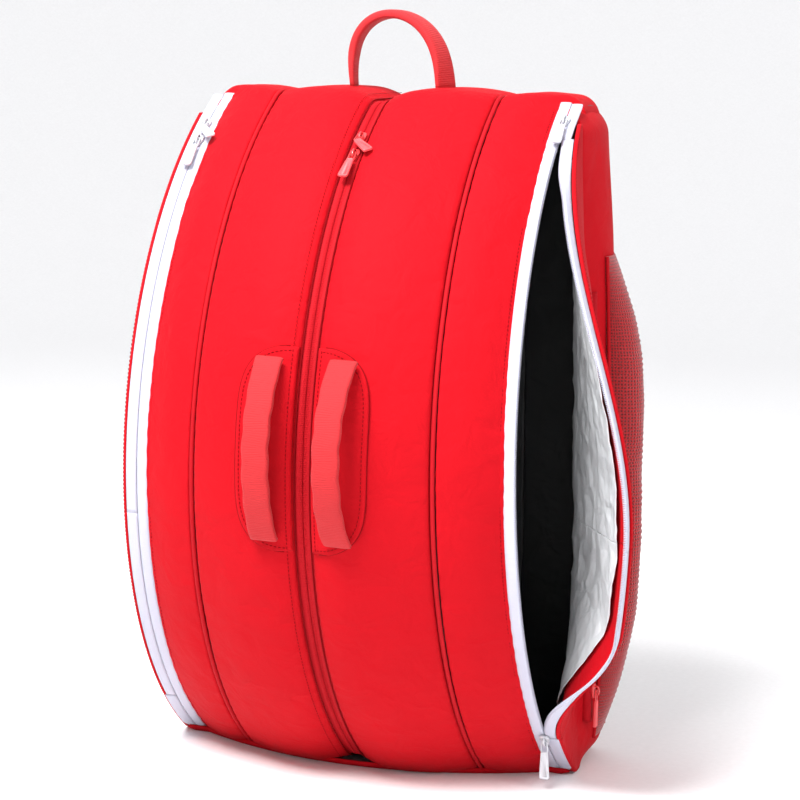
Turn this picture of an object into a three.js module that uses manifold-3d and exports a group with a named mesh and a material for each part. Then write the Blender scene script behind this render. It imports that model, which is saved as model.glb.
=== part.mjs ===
// Racket tournament bag: three compartments side by side, standing on its base.
// Millimetres, +Z up, the curved zipped front towards -Y, the carrying back towards +Y.
import * as THREE from 'three';
import { mergeVertices } from 'three/addons/utils/BufferGeometryUtils.js';
import Module from 'manifold-3d';

const wasm = await Module();
wasm.setup();

// ---------------------------------------------------------------- driving dimensions
const BAG_HEIGHT = 600;          // base to the crown of the top panel
const BAG_DEPTH = 300;           // back face to the fullest point of the front
const TOP_DEPTH = 132;           // back face to the front's top edge
const FOOT_DEPTH = 153;          // back face to the front's foot
const TOP_CROWN = 8;             // rise of the top panel above the front's top edge
const FRONT_FOOT_Z = 8;          // where the front meets the base
const ZIP_HALF_TOP = 163;        // centre plane to a side zip, at the top edge
const ZIP_FLARE = 0.023;         // side zips spread towards the base, mm per mm
const SEAM_SHARE = 0.63;         // piped seam, as a share of the way from centre to side zip
const BOW = 50;                  // how far the front falls back from centre to side zip
const BOW_POWER = 2;
const FLAT_SHARE = 0.93;         // from here out the bow stops, so the two zip tapes lie level
const WALL = 5;                  // padded wall of the front, top and base
const SIDE_WALL = 3.5;
const BACK_WALL = 8;
const BASE_WALL = 6;
const DIVIDER_WALL = 2.5;
const PUFF = 3;                  // padding crown of a front panel
const VALLEY = 5;                // dip of the front panels beside the centre zip
const VALLEY_SHARE = 0.3;        // share of the panel width that the dip takes
const SIDE_BULGE = { out: 14, rise: 0.5, reach: 0.9, edge: 0.02 };  // belly of a side behind its flap
const TAPE_WIDTH = 9.6;
const TAPE_THICK = 1.6;
const CENTRE_TAPE_WIDTH = 6;
const CENTRE_ZIP_RECESS = 7.5;   // centre zip lies in the valley
const PIPING_RADIUS = 2;
const LINING_THICK = 1.1;
const LINING_INSET = 15;         // red hem left showing at the lip of the flap's lining
const LINING_TOP_INSET = 36;
const FLAP_OPEN_DEG = 31;        // how far the right flap stands open
const FLAP_HINGE_TOP = { y: -93, drop: 8 };      // drop is measured down from the top edge
const FLAP_HINGE_FOOT = { y: -88, z: 88 };
const FLAP_TAPE_SHORT = 44;      // a flap's tape ends this far below the fold line's top
const FLAP_HEEL_Z = 64;          // lower front corner of a flap, on the zip line
const FLAP_HEEL_SHARE = 0.15;    // shares of the side panel's rows below the heel and the fold line
const FLAP_FOOT_SHARE = 0.3;
const GAP = 0.4;                 // clearance between sewn neighbours
const HINGE_GAP = 1;             // clearance across the fold line of a flap
const SURFACE_GAP = 2;           // clearance over a padded, curved wall
const FACET_GAP = 0.7;           // extra clearance where a curved wall is cut into flats
const EDGE_GAP = 1.5;            // clearance of a wall's end from the panel it is sewn to
const TOP_FRONT_GAP = 4.4;       // front's top edge back to the top panel
const CROWN_POWER = 0.7;
const BACK_CORNER = { from: 0.85, drop: 3 };
const HANDLE = { x: 38, top: 366, foot: 196, width: 25, endWidth: 9, thick: 7, standOff: 5.5,
  bow: 26, arch: 0.8, taper: 0.5 };
const PATCH = { near: 11, reach: 56, top: 392, foot: 172, thick: 1, corner: 5, cornerCut: 0.98 };
const LOOP = { y: -62, half: 46, rise: 68, width: 26, endWidth: 6, thick: 7, standOff: 6, arch: 0.75, taper: 0.5 };
const LOOP_ANCHOR = { halfX: 13, halfY: 14, sink: 0.4, thick: 3, lift: 1 };
const STRAP = { width: 56, thick: 10, topX: 58, topDrop: 72, footX: 84, footZ: 215, standOff: 15, bow: 28,
  arch: 0.9, taper: 0.35 };
const YOKE = { half: 92, topDrop: 32, height: 48, thick: 8 };
const BACK_PAD = { half: 118, foot: 72, topDrop: 92, edge: 2, crown: 7, acrossPower: 4, upPower: 6 };
const WEBBING = { width: 24, thick: 2, footX: 112, footZ: 52, footY: 8, topGap: 3 };
const WEBBING_ANCHOR = { width: 34, below: 34, above: 6, taper: 0.3, thick: 5 };
const BUCKLE = { width: 34, height: 26, thick: 6, bar: 4, slot: 26, barThick: 3.6, midThick: 3, drop: 2 };
const POCKET = { foot: 66, topDrop: 130, front: -70, back: -14, bulge: 33, wall: 3, acrossPower: 4, upPower: 6,
  soften: 0.7, rim: 0.25 };
const POCKET_ZIP = { offset: 7, below: 20, above: 30, width: 8, sliderUp: 8 };
const UPPER_SLIDER_DROP = 43;    // top edge down the zip to the upper slider
const SLIDER_SPACING = 22;       // upper slider to lower slider on a closed zip
const MOUTH_TOP_DROP = 5;        // fold line's top down to the open zip's upper slider
const MOUTH_FOOT_Z = 46;         // height of the open zip's lower slider
const PULL = { length: 33, width: 9, thick: 2.6, eyeThick: 1.6, eyeBar: 2.2, eyeHalf: 3.4, holeHalf: 2,
  holeFoot: 7.4, eyeFoot: 11, tabTop: 9 };
const PULL_LEAN = -42;           // a pull lying across its zip, degrees
const PULL_LIFT = { crossed: 15, centre: 8 };    // degrees off the front
const SLIDER = { length: 13, width: 9, plate: 2.2, bridgeGap: 3.2, bridge: 1.4, bridgeWidth: 2, post: 1.6,
  noseHalf: 2.7, bridgeShort: 3, sink: 0.2 };

const RED = 0xe2202a;
const BRIGHT_RED = 0xf0444a;
const DARK_RED = 0xa80f18;
const WHITE = 0xf1f1f3;
const SILVER = 0xc9ccd0;
const BLACK = 0x17171a;

// ---------------------------------------------------------------- small tools
const radians = THREE.MathUtils.degToRad;
const lerp = THREE.MathUtils.lerp;
const group = new THREE.Group();

function closedForm(geometry) {
  const bare = geometry.clone();
  bare.deleteAttribute('normal');
  bare.deleteAttribute('uv');
  return mergeVertices(bare, 1e-3);
}

function facingOut(geometry) {
  const p = geometry.attributes.position;
  const index = geometry.index.array;
  const [a, b, c] = [new THREE.Vector3(), new THREE.Vector3(), new THREE.Vector3()];
  let volume = 0;
  for (let i = 0; i < index.length; i += 3) {
    a.fromBufferAttribute(p, index[i]);
    b.fromBufferAttribute(p, index[i + 1]);
    c.fromBufferAttribute(p, index[i + 2]);
    volume += a.dot(b.cross(c));
  }
  if (volume < 0) {
    for (let i = 0; i < index.length; i += 3) {
      [index[i], index[i + 1]] = [index[i + 1], index[i]];
    }
  }
  return geometry;
}

// A box of unit size, cut into cells and bent: place(u, v, w) gives each corner its position.
function bentBox(cellsU, cellsV, cellsW, place) {
  const box = new THREE.BoxGeometry(1, 1, 1, cellsU, cellsV, cellsW);
  box.translate(0.5, 0.5, 0.5);
  const geometry = closedForm(box);
  const p = geometry.attributes.position;
  for (let i = 0; i < p.count; i++) {
    const [x, y, z] = place(p.getX(i), p.getY(i), p.getZ(i));
    p.setXYZ(i, x, y, z);
  }
  return facingOut(geometry);
}

function toSolid(geometry) {
  const bare = geometry.index && !geometry.attributes.normal ? geometry : closedForm(geometry);
  return new wasm.Manifold(new wasm.Mesh({
    numProp: 3,
    vertProperties: new Float32Array(bare.attributes.position.array),
    triVerts: new Uint32Array(bare.index.array),
  }));
}

function toGeometry(solid) {
  const mesh = solid.getMesh();
  const geometry = new THREE.BufferGeometry();
  geometry.setAttribute('position', new THREE.BufferAttribute(mesh.vertProperties, 3));
  geometry.setIndex(new THREE.BufferAttribute(mesh.triVerts, 1));
  return geometry;
}

function joined(...geometries) {
  return toGeometry(geometries.map(toSolid).reduce((a, b) => a.add(b)));
}

function boxAt(sx, sy, sz, x, y, z) {
  const box = new THREE.BoxGeometry(sx, sy, sz);
  box.translate(x, y, z);
  return box;
}

function add(name, geometry, color, parent = group, roughness = 0.75, metalness = 0) {
  const mesh = new THREE.Mesh(geometry, new THREE.MeshStandardMaterial({ color, roughness, metalness }));
  mesh.name = name;
  parent.add(mesh);
  return mesh;
}

const SIDES = [['left', -1], ['right', 1]];

// ---------------------------------------------------------------- the curved front
// Seen from the side, the front is one arc, so that a zip slider can follow it. The arc runs through
// the top edge and the foot, and is BAG_DEPTH from the back at its fullest.
const TOP_EDGE_Z = BAG_HEIGHT - TOP_CROWN;
const ARC_SPAN = TOP_EDGE_Z - FRONT_FOOT_Z;
const TOP_SAG = BAG_DEPTH - TOP_DEPTH;
const FOOT_SAG = BAG_DEPTH - FOOT_DEPTH;

function arcRise() {
  const a = FOOT_SAG - TOP_SAG;
  const b = 2 * TOP_SAG * ARC_SPAN;
  const c = TOP_SAG * (FOOT_SAG * TOP_SAG - ARC_SPAN ** 2 - FOOT_SAG ** 2);
  return (2 * c) / (-b - Math.sqrt(b * b - 4 * a * c));
}

const ARC_RISE = arcRise();      // arc centre up to the top edge
const FRONT_RADIUS = (ARC_RISE ** 2 + TOP_SAG ** 2) / (2 * TOP_SAG);
const FRONT_ARC_Z = TOP_EDGE_Z - ARC_RISE;
const ARC_Y = FRONT_RADIUS - BAG_DEPTH;
FLAP_HINGE_TOP.z = TOP_EDGE_Z - FLAP_HINGE_TOP.drop;
STRAP.topZ = TOP_EDGE_Z - STRAP.topDrop;
YOKE.top = TOP_EDGE_Z - YOKE.topDrop;
YOKE.foot = YOKE.top - YOKE.height;
BACK_PAD.top = TOP_EDGE_Z - BACK_PAD.topDrop;
POCKET.top = TOP_EDGE_Z - POCKET.topDrop;
const PHI_TOP = Math.asin((TOP_EDGE_Z - FRONT_ARC_Z) / FRONT_RADIUS);
const PHI_FOOT = Math.asin((FRONT_FOOT_Z - FRONT_ARC_Z) / FRONT_RADIUS);
const zipHalf = (z) => ZIP_HALF_TOP + ZIP_FLARE * (TOP_EDGE_Z - z);
const seamX = (z) => SEAM_SHARE * zipHalf(z);
const bowAt = (share) => BOW * Math.min(Math.abs(share) / FLAT_SHARE, 1) ** BOW_POWER;
const phiAt = (z, r = FRONT_RADIUS) => Math.asin((z - FRONT_ARC_Z) / r);
const arcY = (z, r = FRONT_RADIUS) => ARC_Y - Math.sqrt(r * r - (z - FRONT_ARC_Z) ** 2);

// A point of the front: xOf(z) is its place across, phi its angle up the arc, r its radius.
function frontPoint(xOf, phi, r) {
  const z = FRONT_ARC_Z + r * Math.sin(phi);
  const x = xOf(z);
  return [x, ARC_Y + bowAt(x / zipHalf(z)) - r * Math.cos(phi), z];
}

// Outer radius of a front panel at a share of the way from the centre zip to the piped seam.
function panelRadius(share) {
  const dip = VALLEY * (1 - Math.min(share / VALLEY_SHARE, 1)) ** 2;
  return FRONT_RADIUS - dip + PUFF * Math.sin(Math.PI * share);
}

// A strip of the front between two lines, from one angle to another.
function frontStrip(from, to, phiFrom, phiTo, outer, thick, cellsU, cellsV) {
  return bentBox(cellsU, cellsV, 1, (u, v, w) =>
    frontPoint((z) => lerp(from(z), to(z), u), lerp(phiFrom, phiTo, v), outer(u) - thick * w));
}

const PANEL_NEAR = CENTRE_TAPE_WIDTH + 2 * GAP + FACET_GAP;
const SEAM_GAP = PIPING_RADIUS + GAP;
for (const [side, sign] of SIDES) {
  add(`front_${side}_panel`, frontStrip(() => sign * PANEL_NEAR, (z) => sign * (seamX(z) - SEAM_GAP),
    PHI_FOOT, PHI_TOP, panelRadius, WALL, 6, 20), RED);
  add(`${side}_gusset`, frontStrip((z) => sign * (seamX(z) + SEAM_GAP),
    (z) => sign * (zipHalf(z) - TAPE_WIDTH - 2 * GAP), PHI_FOOT, PHI_TOP,
    (u) => FRONT_RADIUS + PUFF * 0.5 * Math.sin(Math.PI * u), WALL, 3, 20), RED);
}

// ---------------------------------------------------------------- piping in the two front seams
class SeamLine extends THREE.Curve {
  constructor(sign, radius) {
    super();
    this.sign = sign;
    this.radius = radius;
  }

  getPoint(t, target = new THREE.Vector3()) {
    const phi = lerp(PHI_FOOT, PHI_TOP, t);
    return target.set(...frontPoint((z) => this.sign * seamX(z), phi, this.radius));
  }
}

function roundSection(radius, sides) {
  const shape = new THREE.Shape();
  for (let i = 0; i < sides; i++) {
    const a = (i / sides) * 2 * Math.PI;
    if (i) shape.lineTo(radius * Math.cos(a), radius * Math.sin(a));
    else shape.moveTo(radius * Math.cos(a), radius * Math.sin(a));
  }
  shape.closePath();
  return shape;
}

for (const [side, sign] of SIDES) {
  const path = new SeamLine(sign, FRONT_RADIUS - PIPING_RADIUS / 2);
  add(`${side}_piping`, new THREE.ExtrudeGeometry(roundSection(PIPING_RADIUS, 8),
    { steps: 24, extrudePath: path, curveSegments: 1 }), DARK_RED);
}

// ---------------------------------------------------------------- zip tapes
const TAPE_RADIUS = FRONT_RADIUS - GAP;
const HEEL_PHI = phiAt(FLAP_HEEL_Z);
const HEEL_CLEAR = HINGE_GAP / FRONT_RADIUS;
for (const [side, sign] of SIDES) {
  add(`centre_zip_tape_${side}`, frontStrip(() => sign * GAP, () => sign * (GAP + CENTRE_TAPE_WIDTH),
    PHI_FOOT, PHI_TOP, () => FRONT_RADIUS - CENTRE_ZIP_RECESS, TAPE_THICK, 1, 20), DARK_RED);
  add(`${side}_zip_tape_inner`, frontStrip((z) => sign * (zipHalf(z) - GAP - TAPE_WIDTH),
    (z) => sign * (zipHalf(z) - GAP), PHI_FOOT, PHI_TOP, () => TAPE_RADIUS, TAPE_THICK, 1, 20), WHITE);
  add(`${side}_zip_tape_tail`, frontStrip((z) => sign * (zipHalf(z) + GAP),
    (z) => sign * (zipHalf(z) + GAP + TAPE_WIDTH), PHI_FOOT, HEEL_PHI - HEEL_CLEAR,
    () => TAPE_RADIUS, TAPE_THICK, 1, 4), WHITE);
}

// ---------------------------------------------------------------- side panels and their hinged flaps
const SIDE_FOOT_Z = BASE_WALL + EDGE_GAP;
const SIDE_TOP_Z = TOP_EDGE_Z - WALL - HINGE_GAP;
const SIDE_FRONT_RADIUS = FRONT_RADIUS - GAP;
const sideInner = (z) => zipHalf(z) + TAPE_WIDTH + 2 * GAP;
const sideOuter = (z) => sideInner(z) + SIDE_WALL;
const hingeY = (z) => lerp(FLAP_HINGE_FOOT.y, FLAP_HINGE_TOP.y,
  (z - FLAP_HINGE_FOOT.z) / (FLAP_HINGE_TOP.z - FLAP_HINGE_FOOT.z));

// The sides are flat in front of the fold line and belly out behind it.
function bulgeAt(y, z) {
  const { out, rise, reach, edge } = SIDE_BULGE;
  const share = (y - hingeY(z)) / (-BACK_WALL - hingeY(z));
  const height = Math.min(Math.max(z / TOP_EDGE_Z, edge), 1 - edge);
  const up = Math.sin(Math.PI * height) ** rise;
  return share > 0 ? out * up * Math.sin(Math.PI * reach * Math.min(share, 1)) : 0;
}

// Stretches lie between these heights, each a given share of the way up the mesh.
function sideHeight(v) {
  const stops = [[0, SIDE_FOOT_Z], [FLAP_HEEL_SHARE, FLAP_HEEL_Z - HINGE_GAP],
    [FLAP_FOOT_SHARE, FLAP_HINGE_FOOT.z - HINGE_GAP], [1, SIDE_TOP_Z]];
  const i = v < stops[1][0] ? 0 : v < stops[2][0] ? 1 : 2;
  return lerp(stops[i][1], stops[i + 1][1], (v - stops[i][0]) / (stops[i + 1][0] - stops[i][0]));
}

// Front edge of a side panel: the zip line, then up along the flap's foot, then the fold line.
function sideFrontY(z) {
  const [low, high] = [FLAP_HEEL_Z - HINGE_GAP, FLAP_HINGE_FOOT.z - HINGE_GAP];
  const zipY = (height) => arcY(height, SIDE_FRONT_RADIUS) + BOW;
  if (z <= low) return zipY(z);
  const fold = hingeY(z) + HINGE_GAP / 2;
  return z < high ? lerp(zipY(low), fold, (z - low) / (high - low)) : fold;
}

function sidePanel(sign) {
  return bentBox(8, 20, 1, (u, v, w) => {
    const z = sideHeight(v);
    const y = lerp(sideFrontY(z), -BACK_WALL - GAP, u);
    return [sign * (lerp(sideOuter(z), sideInner(z), w) + bulgeAt(y, z)), y, z];
  });
}

function flapPanel(sign) {
  return bentBox(4, 18, 1, (u, v, w) => {
    const z = lerp(lerp(FLAP_HEEL_Z, FLAP_HINGE_FOOT.z, u), SIDE_TOP_Z, v);
    const y = lerp(arcY(z, SIDE_FRONT_RADIUS) + BOW, hingeY(z) - HINGE_GAP / 2, u);
    return [sign * lerp(sideOuter(z), sideInner(z), w), y, z];
  });
}

function insetFlap(sign) {
  const radius = SIDE_FRONT_RADIUS - LINING_INSET;
  const foot = FLAP_HINGE_FOOT.z;
  const top = FLAP_HINGE_TOP.z - LINING_TOP_INSET;
  return bentBox(1, 16, 1, (u, v, w) => {
    const z = lerp(foot, top, v);
    const y = lerp(arcY(z, radius) + BOW, hingeY(z) - HINGE_GAP, u);
    return [sign * (sideInner(z) - GAP - LINING_THICK * w), y, z];
  });
}

// A group whose children turn about a side's fold line.
function flapGroup(sign, degrees) {
  const foot = new THREE.Vector3(sign * sideOuter(FLAP_HINGE_FOOT.z), FLAP_HINGE_FOOT.y, FLAP_HINGE_FOOT.z);
  const top = new THREE.Vector3(sign * sideOuter(FLAP_HINGE_TOP.z), FLAP_HINGE_TOP.y, FLAP_HINGE_TOP.z);
  const axis = top.clone().sub(foot).normalize();
  const turned = new THREE.Group();
  turned.quaternion.setFromAxisAngle(axis, sign * radians(degrees));
  turned.position.copy(foot).sub(foot.clone().applyQuaternion(turned.quaternion));
  group.add(turned);
  return turned;
}

for (const [side, sign] of SIDES) {
  add(`${side}_side_panel`, sidePanel(sign), RED);
  const hinged = flapGroup(sign, side === 'right' ? FLAP_OPEN_DEG : 0);
  add(`${side}_flap`, flapPanel(sign), RED, hinged);
  add(`${side}_zip_tape_outer`, frontStrip((z) => sign * (zipHalf(z) + GAP),
    (z) => sign * (zipHalf(z) + GAP + TAPE_WIDTH), HEEL_PHI + HEEL_CLEAR,
    phiAt(FLAP_HINGE_TOP.z - FLAP_TAPE_SHORT), () => TAPE_RADIUS, TAPE_THICK, 1, 18), WHITE, hinged);
  add(`${side}_flap_lining`, insetFlap(sign), SILVER, hinged, 0.4, 0.3);
}

// ---------------------------------------------------------------- back, base, top and dividers
function backHalf(z) {
  return sideOuter(z) + bulgeAt(-BACK_WALL, z);
}

add('back_panel', bentBox(8, 12, 1, (u, v, w) => {
  const z = lerp(SIDE_FOOT_Z, SIDE_TOP_Z, v);
  const share = 2 * u - 1;
  const corner = Math.max(Math.abs(share) - BACK_CORNER.from, 0) / (1 - BACK_CORNER.from);
  return [share * (backHalf(z) - HINGE_GAP), -BACK_WALL * w - BACK_CORNER.drop * corner * corner * (1 - w), z];
}), RED);

add('back_pad', bentBox(6, 10, 1, (u, v, w) => {
  const soft = (1 - (2 * u - 1) ** BACK_PAD.acrossPower) * (1 - (2 * v - 1) ** BACK_PAD.upPower);
  return [lerp(-BACK_PAD.half, BACK_PAD.half, u), lerp(BACK_PAD.edge + BACK_PAD.crown * soft, GAP, w),
    lerp(BACK_PAD.foot, BACK_PAD.top, v)];
}), BLACK);

add('base_panel', bentBox(8, 3, 1, (u, v, w) => {
  const share = 2 * u - 1;
  const x = share * sideOuter(0);
  const front = arcY(FRONT_FOOT_Z) + bowAt(x / zipHalf(0));
  return [x, lerp(front, 0, v), BASE_WALL * w];
}), RED);

add('top_panel', bentBox(10, 6, 1, (u, v, w) => {
  const share = 2 * u - 1;
  const x = share * sideOuter(TOP_EDGE_Z);
  const undercut = WALL / Math.tan(PHI_TOP) + GAP;
  const front = arcY(TOP_EDGE_Z) + bowAt(x / ZIP_HALF_TOP) + TOP_FRONT_GAP + undercut * w;
  const crown = TOP_CROWN * Math.sin(Math.PI * v) ** CROWN_POWER;
  return [x, lerp(front, -GAP, v), TOP_EDGE_Z + crown - WALL * w];
}), RED);

for (const [side, sign] of SIDES) {
  const radius = FRONT_RADIUS - WALL - EDGE_GAP;
  add(`${side}_divider`, bentBox(3, 14, 1, (u, v, w) => {
    const z = lerp(BASE_WALL + SURFACE_GAP, TOP_EDGE_Z - WALL - EDGE_GAP, v);
    const y = lerp(arcY(z, radius) + bowAt(SEAM_SHARE), -BACK_WALL - GAP, u);
    return [sign * (seamX(z) - DIVIDER_WALL / 2 + DIVIDER_WALL * w), y, z];
  }), BLACK);
}

// ---------------------------------------------------------------- grab handles and their patches
const panelShare = (x, z) => (Math.abs(x) - PANEL_NEAR) / (seamX(z) - SEAM_GAP - PANEL_NEAR);
for (const [side, sign] of SIDES) {
  add(`${side}_handle_patch`, bentBox(4, 12, 1, (u, v, w) => {
    const phi = lerp(phiAt(PATCH.foot), phiAt(PATCH.top), v);
    const round = Math.sqrt(1 - Math.abs(2 * v - 1) ** PATCH.corner * PATCH.cornerCut);
    const x = PATCH.near + PATCH.reach * round * u;
    const share = panelShare(x, FRONT_ARC_Z + FRONT_RADIUS * Math.sin(phi));
    return frontPoint(() => sign * x, phi, panelRadius(share) + SURFACE_GAP + PATCH.thick * w);
  }), BRIGHT_RED);

  const base = panelRadius(panelShare(HANDLE.x, FRONT_ARC_Z)) + SURFACE_GAP + PATCH.thick;
  add(`${side}_grab_handle`, bentBox(2, 16, 1, (u, v, w) => {
    const phi = lerp(phiAt(HANDLE.foot), phiAt(HANDLE.top), v);
    const r = base + HANDLE.standOff + HANDLE.bow * Math.sin(Math.PI * v) ** HANDLE.arch + HANDLE.thick * w;
    const width = lerp(HANDLE.endWidth, HANDLE.width, Math.sin(Math.PI * v) ** HANDLE.taper);
    return frontPoint(() => sign * HANDLE.x + width * (u - 0.5), phi, r);
  }), BRIGHT_RED);
}

// ---------------------------------------------------------------- top carry loop
const LOOP_FOOT_Z = BAG_HEIGHT + LOOP_ANCHOR.lift;
for (const [side, sign] of SIDES) {
  add(`top_loop_anchor_${side}`, bentBox(2, 2, 1, (u, v, w) => [
    sign * LOOP.half + lerp(-LOOP_ANCHOR.halfX, LOOP_ANCHOR.halfX, u),
    LOOP.y + lerp(-LOOP_ANCHOR.halfY, LOOP_ANCHOR.halfY, v),
    LOOP_FOOT_Z + LOOP_ANCHOR.thick * w - LOOP_ANCHOR.sink]), RED);
}

add('top_loop', bentBox(20, 2, 1, (u, v, w) => {
  const t = Math.PI * u;
  const out = LOOP.thick * w;
  const x = -(LOOP.half - LOOP.thick / 2 + out) * Math.cos(t);
  const height = (LOOP.rise - LOOP.thick + out) * Math.sin(t) ** LOOP.arch;
  const width = lerp(LOOP.endWidth, LOOP.width, Math.sin(t) ** LOOP.taper);
  return [x, LOOP.y + width * (v - 0.5), LOOP_FOOT_Z + LOOP.standOff + height];
}), BRIGHT_RED);

// ---------------------------------------------------------------- shoulder straps on the back
add('strap_yoke', bentBox(6, 2, 1, (u, v, w) => [
  lerp(-YOKE.half, YOKE.half, u), lerp(GAP, YOKE.thick, w), lerp(YOKE.foot, YOKE.top, v)]), RED);

function ladderLock() {
  const { width, height, thick, bar, slot, barThick, midThick } = BUCKLE;
  const side = (width - slot) / 2;
  return joined(
    boxAt(side, thick, height, -(width - side) / 2, 0, 0),
    boxAt(side, thick, height, (width - side) / 2, 0, 0),
    boxAt(width - side, barThick, bar, 0, 0, (height - bar) / 2),
    boxAt(width - side, barThick, bar, 0, 0, -(height - bar) / 2),
    boxAt(width - side, midThick, bar, 0, 0, 0),
  );
}

for (const [side, sign] of SIDES) {
  add(`${side}_shoulder_strap`, bentBox(2, 14, 1, (u, v, w) => {
    const out = STRAP.standOff + STRAP.bow * Math.sin(Math.PI * v) ** STRAP.arch + STRAP.thick * w;
    const width = STRAP.width * (1 - STRAP.taper * (1 - v));
    const x = sign * lerp(STRAP.footX, STRAP.topX, v) + width * (u - 0.5);
    return [x, out, lerp(STRAP.footZ, STRAP.topZ, v)];
  }), BLACK);

  const buckle = ladderLock();
  buckle.translate(sign * STRAP.footX, STRAP.standOff + STRAP.thick / 2,
    STRAP.footZ - BUCKLE.height / 2 - BUCKLE.drop);
  add(`${side}_buckle`, buckle, BLACK, group, 0.5);

  const webTop = STRAP.footZ - BUCKLE.height - WEBBING.topGap;
  add(`${side}_strap_webbing`, bentBox(1, 8, 1, (u, v, w) => {
    const x = sign * lerp(WEBBING.footX, STRAP.footX, v) + WEBBING.width * (u - 0.5);
    const y = lerp(WEBBING.footY, STRAP.standOff + STRAP.thick / 2, v) + WEBBING.thick * w;
    return [x, y, lerp(WEBBING.footZ, webTop, v)];
  }), BLACK);

  add(`${side}_webbing_anchor`, bentBox(2, 2, 1, (u, v, w) => [
    sign * WEBBING.footX + WEBBING_ANCHOR.width * (u - 0.5) * (1 - WEBBING_ANCHOR.taper * v),
    lerp(GAP, WEBBING_ANCHOR.thick, w),
    lerp(WEBBING.footZ - WEBBING_ANCHOR.below, WEBBING.footZ + WEBBING_ANCHOR.above, v)]), RED);
}

// ---------------------------------------------------------------- accessory pocket on the right side
function pocketPoint(y, z, lift) {
  return [sideOuter(z) + bulgeAt(y, z) + lift, y, z];
}

function pocketForm(inset, base, height) {
  return bentBox(10, 12, 1, (u, v, w) => {
    const z = lerp(POCKET.foot + inset, POCKET.top - inset, v);
    const y = lerp(POCKET.front + inset, POCKET.back - inset, u);
    const { acrossPower, upPower, soften, rim } = POCKET;
    const soft = ((1 - (2 * u - 1) ** acrossPower) * (1 - (2 * v - 1) ** upPower)) ** soften;
    return pocketPoint(y, z, w ? base + height * lerp(rim, 1, soft) : base);
  });
}

const pocketShell = toSolid(pocketForm(0, SURFACE_GAP, POCKET.bulge))
  .subtract(toSolid(pocketForm(POCKET.wall, -SURFACE_GAP, POCKET.bulge - POCKET.wall)));
add('side_pocket', toGeometry(pocketShell), DARK_RED);

// The pocket's zip is straight, so that its slider can run along it.
const POCKET_ZIP_Y = POCKET.front - POCKET_ZIP.offset;
const pocketZipX = (z) => sideOuter(z) + bulgeAt(POCKET_ZIP_Y, TOP_EDGE_Z / 2) + SURFACE_GAP;
add('pocket_zip_tape', bentBox(1, 14, 1, (u, v, w) => {
  const z = lerp(POCKET.foot - POCKET_ZIP.below, POCKET.top - POCKET_ZIP.above, v);
  return [pocketZipX(z) + TAPE_THICK * w, POCKET_ZIP_Y + POCKET_ZIP.width * (u - 0.5), z];
}), RED);

// ---------------------------------------------------------------- zip sliders and their pulls
// In a slider's own frame the zip runs along Z and -Y points out of the bag.
function sliderForm() {
  const { length, width, plate, bridgeGap, bridge, bridgeWidth, post, noseHalf, bridgeShort, sink } = SLIDER;
  const outline = new THREE.Shape();
  outline.moveTo(-width / 2, length / 2);
  outline.lineTo(width / 2, length / 2);
  outline.lineTo(width / 2, 0);
  outline.lineTo(noseHalf, -length / 2);
  outline.lineTo(-noseHalf, -length / 2);
  outline.lineTo(-width / 2, 0);
  outline.closePath();
  const body = new THREE.ExtrudeGeometry(outline, { depth: plate, bevelEnabled: false });
  body.rotateX(Math.PI / 2);
  const rise = plate + bridgeGap + bridge;
  const reach = length - bridgeShort;
  const postLength = rise - sink;
  return joined(
    body,
    boxAt(bridgeWidth, postLength, post, 0, -sink - postLength / 2, (reach - post) / 2),
    boxAt(bridgeWidth, postLength, post, 0, -sink - postLength / 2, -(reach - post) / 2),
    boxAt(bridgeWidth, bridge, reach, 0, -rise + bridge / 2, 0),
  );
}

// Hangs down from its eye bar, which is at the origin; the tab leans across by an angle in degrees.
function pullForm(lean = 0) {
  const { length, width, thick, eyeThick, eyeBar, eyeHalf, holeHalf, holeFoot, eyeFoot, tabTop } = PULL;
  const hole = new THREE.Path();
  hole.moveTo(-holeHalf, -eyeBar / 2);
  hole.lineTo(-holeHalf, -holeFoot);
  hole.lineTo(holeHalf, -holeFoot);
  hole.lineTo(holeHalf, -eyeBar / 2);
  hole.closePath();
  const eye = new THREE.Shape();
  eye.moveTo(-eyeHalf, eyeBar / 2);
  eye.lineTo(-eyeHalf, -eyeFoot);
  eye.lineTo(eyeHalf, -eyeFoot);
  eye.lineTo(eyeHalf, eyeBar / 2);
  eye.closePath();
  eye.holes.push(hole);
  const link = new THREE.ExtrudeGeometry(eye, { depth: eyeThick, bevelEnabled: false });
  link.rotateX(Math.PI / 2);
  link.translate(0, eyeThick / 2, 0);
  const tabLength = length - tabTop;
  const tab = boxAt(width, thick, tabLength, 0, 0, -tabLength / 2);
  tab.rotateY(radians(lean));
  tab.translate(0, 0, -tabTop);
  return joined(link, tab);
}

const EYE_LIFT = SLIDER.plate + SLIDER.bridgeGap / 2;

// Puts a slider and its pull on an arc zip; lean is the pull's tilt across, lift its angle off the front.
function arcSlider(name, color, xOf, tilt, radius, phi, lean, lift) {
  const seat = new THREE.Group();
  seat.position.set(...frontPoint(xOf, phi, radius));
  seat.rotation.y = tilt;
  const along = new THREE.Group();
  along.rotation.x = -phi;
  seat.add(along);
  add(`${name}_slider`, sliderForm(), color, along, 0.35, 0.6);
  const eye = new THREE.Group();
  eye.position.y = -EYE_LIFT;
  eye.rotation.x = -radians(lift);
  along.add(eye);
  add(`${name}_pull`, pullForm(lean), color, eye, 0.5);
  group.add(seat);
}

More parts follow.
